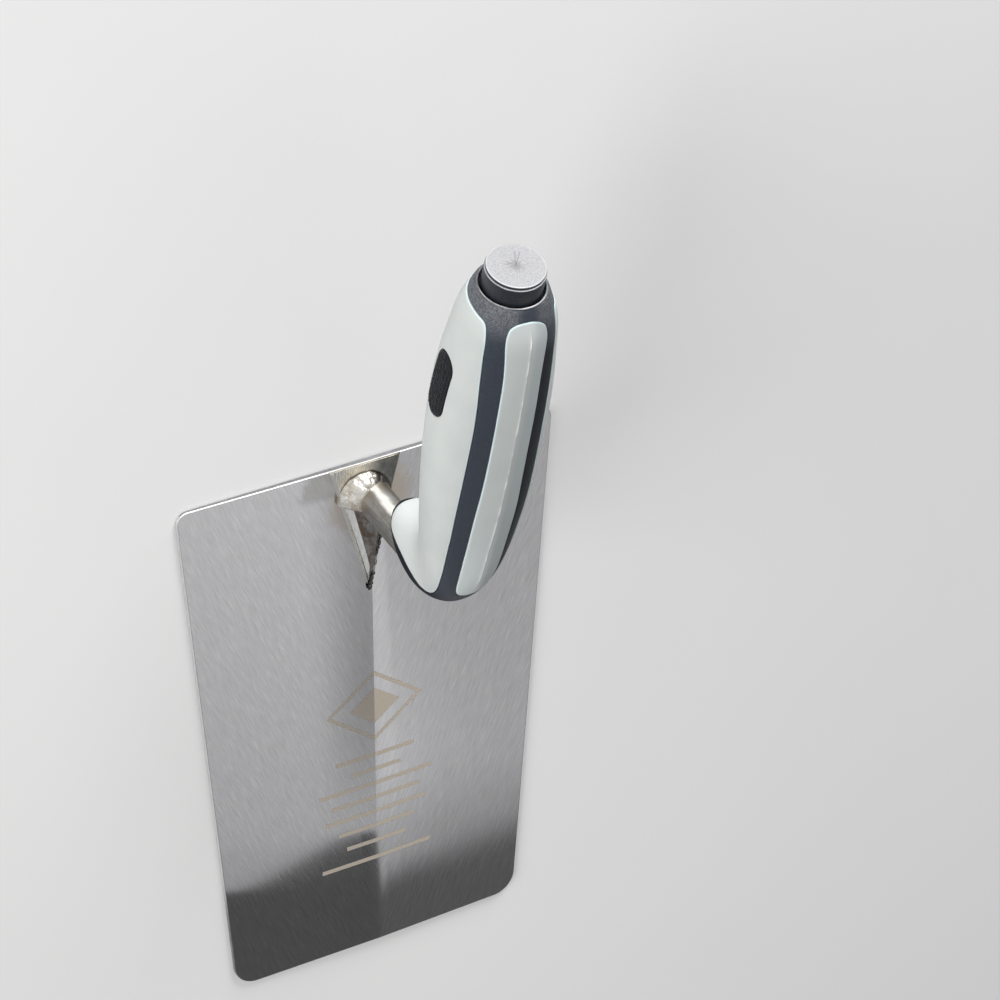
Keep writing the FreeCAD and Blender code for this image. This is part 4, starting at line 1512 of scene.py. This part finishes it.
def cap_material():
    t = new_tree("cap_plastic")
    v = t.position()
    x, y, z = v.split()
    axial = butt_distance(y, z, BUTT_AXIS)
    up = butt_distance(y, z, BUTT_UP)
    radius = length(x, up)
    angle = t.math("ARCTAN2", x, up)
    face = axial.rise(CAP_HEIGHT - 0.30, CAP_HEIGHT - 0.12)
    painted_ledge_highlight = (axial.rise(CAP_HEIGHT - 1.22, CAP_HEIGHT - 1.14)
             * axial.fall(CAP_HEIGHT - 0.98, CAP_HEIGHT - 0.92))
    speck = v.noise(scale=2.6, detail=3.0, rough=0.65)
    fleck = v.noise(scale=4.6, detail=1.0)
    # the grey face: specks, flecks and dark rays near the middle
    rays = t.vec(angle * 9.0, radius * 0.35, 0.0).noise()
    near = radius.fall(0.3, 4.5)
    grey = mix(speck.rise(0.35, 0.68), (0.425, 0.425, 0.44), (0.31, 0.31, 0.32))
    grey = mix(fleck.rise(0.58, 0.68) * 0.6, grey, (0.27, 0.27, 0.28))
    grey = mix(rays.rise(0.53, 0.62) * near * 0.8, grey, (0.14, 0.14, 0.145))
    # a few nearly straight scratches and a smudge at the middle
    bent_x = x + v.noise(scale=0.5).wobble(0.5)
    for turn, shift, start, end in SCRATCHES:
        cos, sin = math.cos(turn), math.sin(turn)
        across = abs(bent_x * cos + up * sin + shift)
        run = bent_x * -sin + up * cos
        ends = run.rise(start, start + 0.8) * run.fall(end - 0.8, end)
        scratch = across.fall(0.03, 0.20) * ends
        grey = mix(scratch * speck.ramp((0.3, 0.6), to=(0.2, 0.6)), grey, (0.07, 0.07, 0.075))
    grey = mix(radius.ramp((0.2, 2.2), to=(0.5, 0.0)), grey, (0.13, 0.13, 0.135))
    # painted highlight round the outer edge of the face
    grey = mix(radius.rise(7.12, 7.26) * face * 0.6, grey, (0.60, 0.61, 0.62))
    # the black wall, with a painted highlight on its ledge
    black = mix(speck.rise(0.4, 0.7), (0.012, 0.014, 0.020), (0.030, 0.034, 0.042))
    black = mix(painted_ledge_highlight * speck.ramp((0.3, 0.6), to=(0.4, 0.9)), black, (0.50, 0.51, 0.52))
    relief = speck + rays.rise(0.56, 0.66) * near * -1.5
    return t.surface(colour=mix(face, black, grey),
                     rough=speck.linear((0.3, 0.7), to=(0.34, 0.46)) + 0.0,
                     normal=relief.bump(strength=0.4, distance=0.00005))


def floor_material():
    t = new_tree("pale_floor")
    cloud = t.value("ShaderNodeTexCoord", output="Object").noise(scale=3.0, detail=4.0)
    colour = mix(cloud.rise(0.3, 0.7), (0.56, 0.56, 0.56), (0.59, 0.59, 0.59))
    # the faint glow is only seen by the camera
    return t.surface(colour=colour, rough=0.7, specular=0.25, emission=(1.0, 1.0, 1.0),
                     emission_strength=t.camera_ray() * 0.13)


# ---------------------------------------------------------------- assembly
MATERIALS = {
    "blade": blade_material(), "foot": foot_material(), "tang": tang_material(),
    "weld": weld_material(), "gusset": gusset_material(), "black": black_material(),
    "grey": grey_material(), "inset": inset_material(), "cap": cap_material(),
}


def place(obj, material, cad_piece):
    obj.data.materials.append(MATERIALS[material])
    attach(obj, "root")
    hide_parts(cad_piece)


def build_halves(half, name):
    return join_halves(half(LEFT), half(RIGHT), name)


place(build_blade(), "blade", "blade")
place(build_foot(), "foot", "foot_plate")
place(build_tang(), "tang", "tang")
place(build_weld(), "weld", "tang_weld_bead")
place(build_gusset(), "gusset", "tang_gusset")
place(build_seam(LEFT), "weld", "gusset_weld_left")
place(build_seam(RIGHT), "weld", "gusset_weld_right")
place(build_halves(half_core, "handle_body"), "black", "handle_core")
place(build_halves(half_top_panel, "top_grip_panel"), "grey", "grip_top_panel")
place(build_halves(half_wrap_panel, "wrap_grip_panel"), "grey", "grip_wrap_panel")
place(build_inset(LEFT), "inset", "side_inset_left")
place(build_inset(RIGHT), "inset", "side_inset_right")
place(build_cap(), "cap", "end_cap")


# ---------------------------------------------------------------- floor and lights (metres)
def build_floor(half=4, z=-0.0002):
    mesh = bpy.data.meshes.new("floor")
    mesh.from_pydata([(-half, -half, z), (half, -half, z), (half, half, z), (-half, half, z)],
                     [], [(0, 1, 2, 3)])
    floor = link_object("floor", mesh)
    mesh.materials.append(floor_material())


def area_light(name, location, target, size, power, colour=(1.0, 1.0, 1.0)):
    data = bpy.data.lights.new(name, "AREA")
    data.shape = "RECTANGLE"
    data.size = data.size_y = size
    data.energy = power
    data.color = colour
    obj = link_object(name, data)
    obj.location = location
    aim = Vector(target) - Vector(location)
    obj.rotation_euler = aim.to_track_quat("-Z", "Y").to_euler()
    return obj


build_floor()
key = area_light("key", location=(-1.1, 0.25, 0.60), target=(0, 0.05, 0.04), size=0.7,
                 power=13.5, colour=(1.0, 1.0, 0.99))
key.visible_glossy = False
area_light("back", location=(0.36, 1.28, 0.48), target=(0, 0.08, 0.05), size=0.6, power=18.5)
area_light("top", location=(-0.15, 0.5, 1.5), target=(0, 0.05, 0.0), size=0.9, power=0.4)


# ---------------------------------------------------------------- world
def bright_bank(x, y, z):
    """Strength of a bright bank high towards +x, -y with a crisp lower edge, in two parts."""
    ratio = x / peak(y * -1.0, 0.05)
    height = z + x * 0.49
    sideways = ratio - (height - 0.871) * 1.78
    right = sideways.rise(0.580, 0.600)
    # height and softness of the lower edge
    edge_left = sideways.ramp((0.490, 0.546), to=(0.8690, 0.8805))
    edge_right = ratio.linear((0.58, 0.78), to=(0.8684, 0.8832))
    over = height - blend(right, edge_left, edge_right)
    lit = (over / blend(right, 0.0010, 0.0062) + 0.5).rise(0.0, 1.0)
    # strength above the edge, left and right, and below it
    high_left = (height.ramp((0.872, 0.882), to=(0.50, 0.58))
                 + height.linear((0.882, 0.945), to=(0.0, 0.20)))
    high_right = (sideways.ramp((0.630, 0.652), to=(0.77, 0.60))
                  + sideways.ramp((0.652, 0.682), to=(0.0, -0.05)))
    high_right = high_right * height.ramp((0.8745, 0.893), to=(0.66, 1.0))
    low = height.ramp((0.58, 0.76), to=(0.42, 0.10)) * blend(right, 0.90, 1.18)
    return blend(lit, low, blend(right, high_left, high_right))


def build_world():
    world = bpy.data.worlds.new("studio")
    bpy.context.scene.world = world
    t = Tree(world)
    x, y, z = t.value("ShaderNodeTexCoord", output="Generated").split()
    bank = bright_bank(x, y, z)
    sector = x.rise(-0.02, 0.12) * y.fall(-0.12, 0.02) * z.rise(0.10, 0.40)
    # soft grey surround with a lighter patch high towards -x, +y
    surround = z.ramp((-0.1, 0.9), to=(0.22, 0.29))
    patch = x * -0.64 + y * 0.64 + z * 0.42
    surround = surround + patch.ramp((0.84, 0.97), to=(0.0, 0.26))
    # the camera itself sees a plain backdrop
    backdrop = 0.62
    strength = pick(t.camera_ray(), pick(sector, surround, bank), backdrop)
    background = t.value("ShaderNodeBackground",
                         {"Color": (1.0, 1.0, 1.0), "Strength": strength})
    t.output(background, "ShaderNodeOutputWorld")


build_world()


# ---------------------------------------------------------------- camera and view
def build_camera():
    data = bpy.data.cameras.new("camera")
    data.sensor_width = 36.0
    data.lens = 134.172
    data.clip_start, data.clip_end = 0.01, 50.0
    camera = link_object("camera", data)
    right = (0.8664, 0.0039, 0.4993)
    up = (0.2668, 0.8417, -0.4694)
    back = (-0.422, 0.5399, 0.7283)
    location = (-0.3955, 0.6148, 0.7542)
    camera.matrix_world = Matrix([*zip(right, up, back, location), (0, 0, 0, 1)])
    bpy.context.scene.camera = camera


build_camera()

view = bpy.context.scene.view_settings
view.view_transform = "Standard"
view.look = "None"
view.exposure = 0.0
view.gamma = 1.0

bpy.context.view_layer.update()
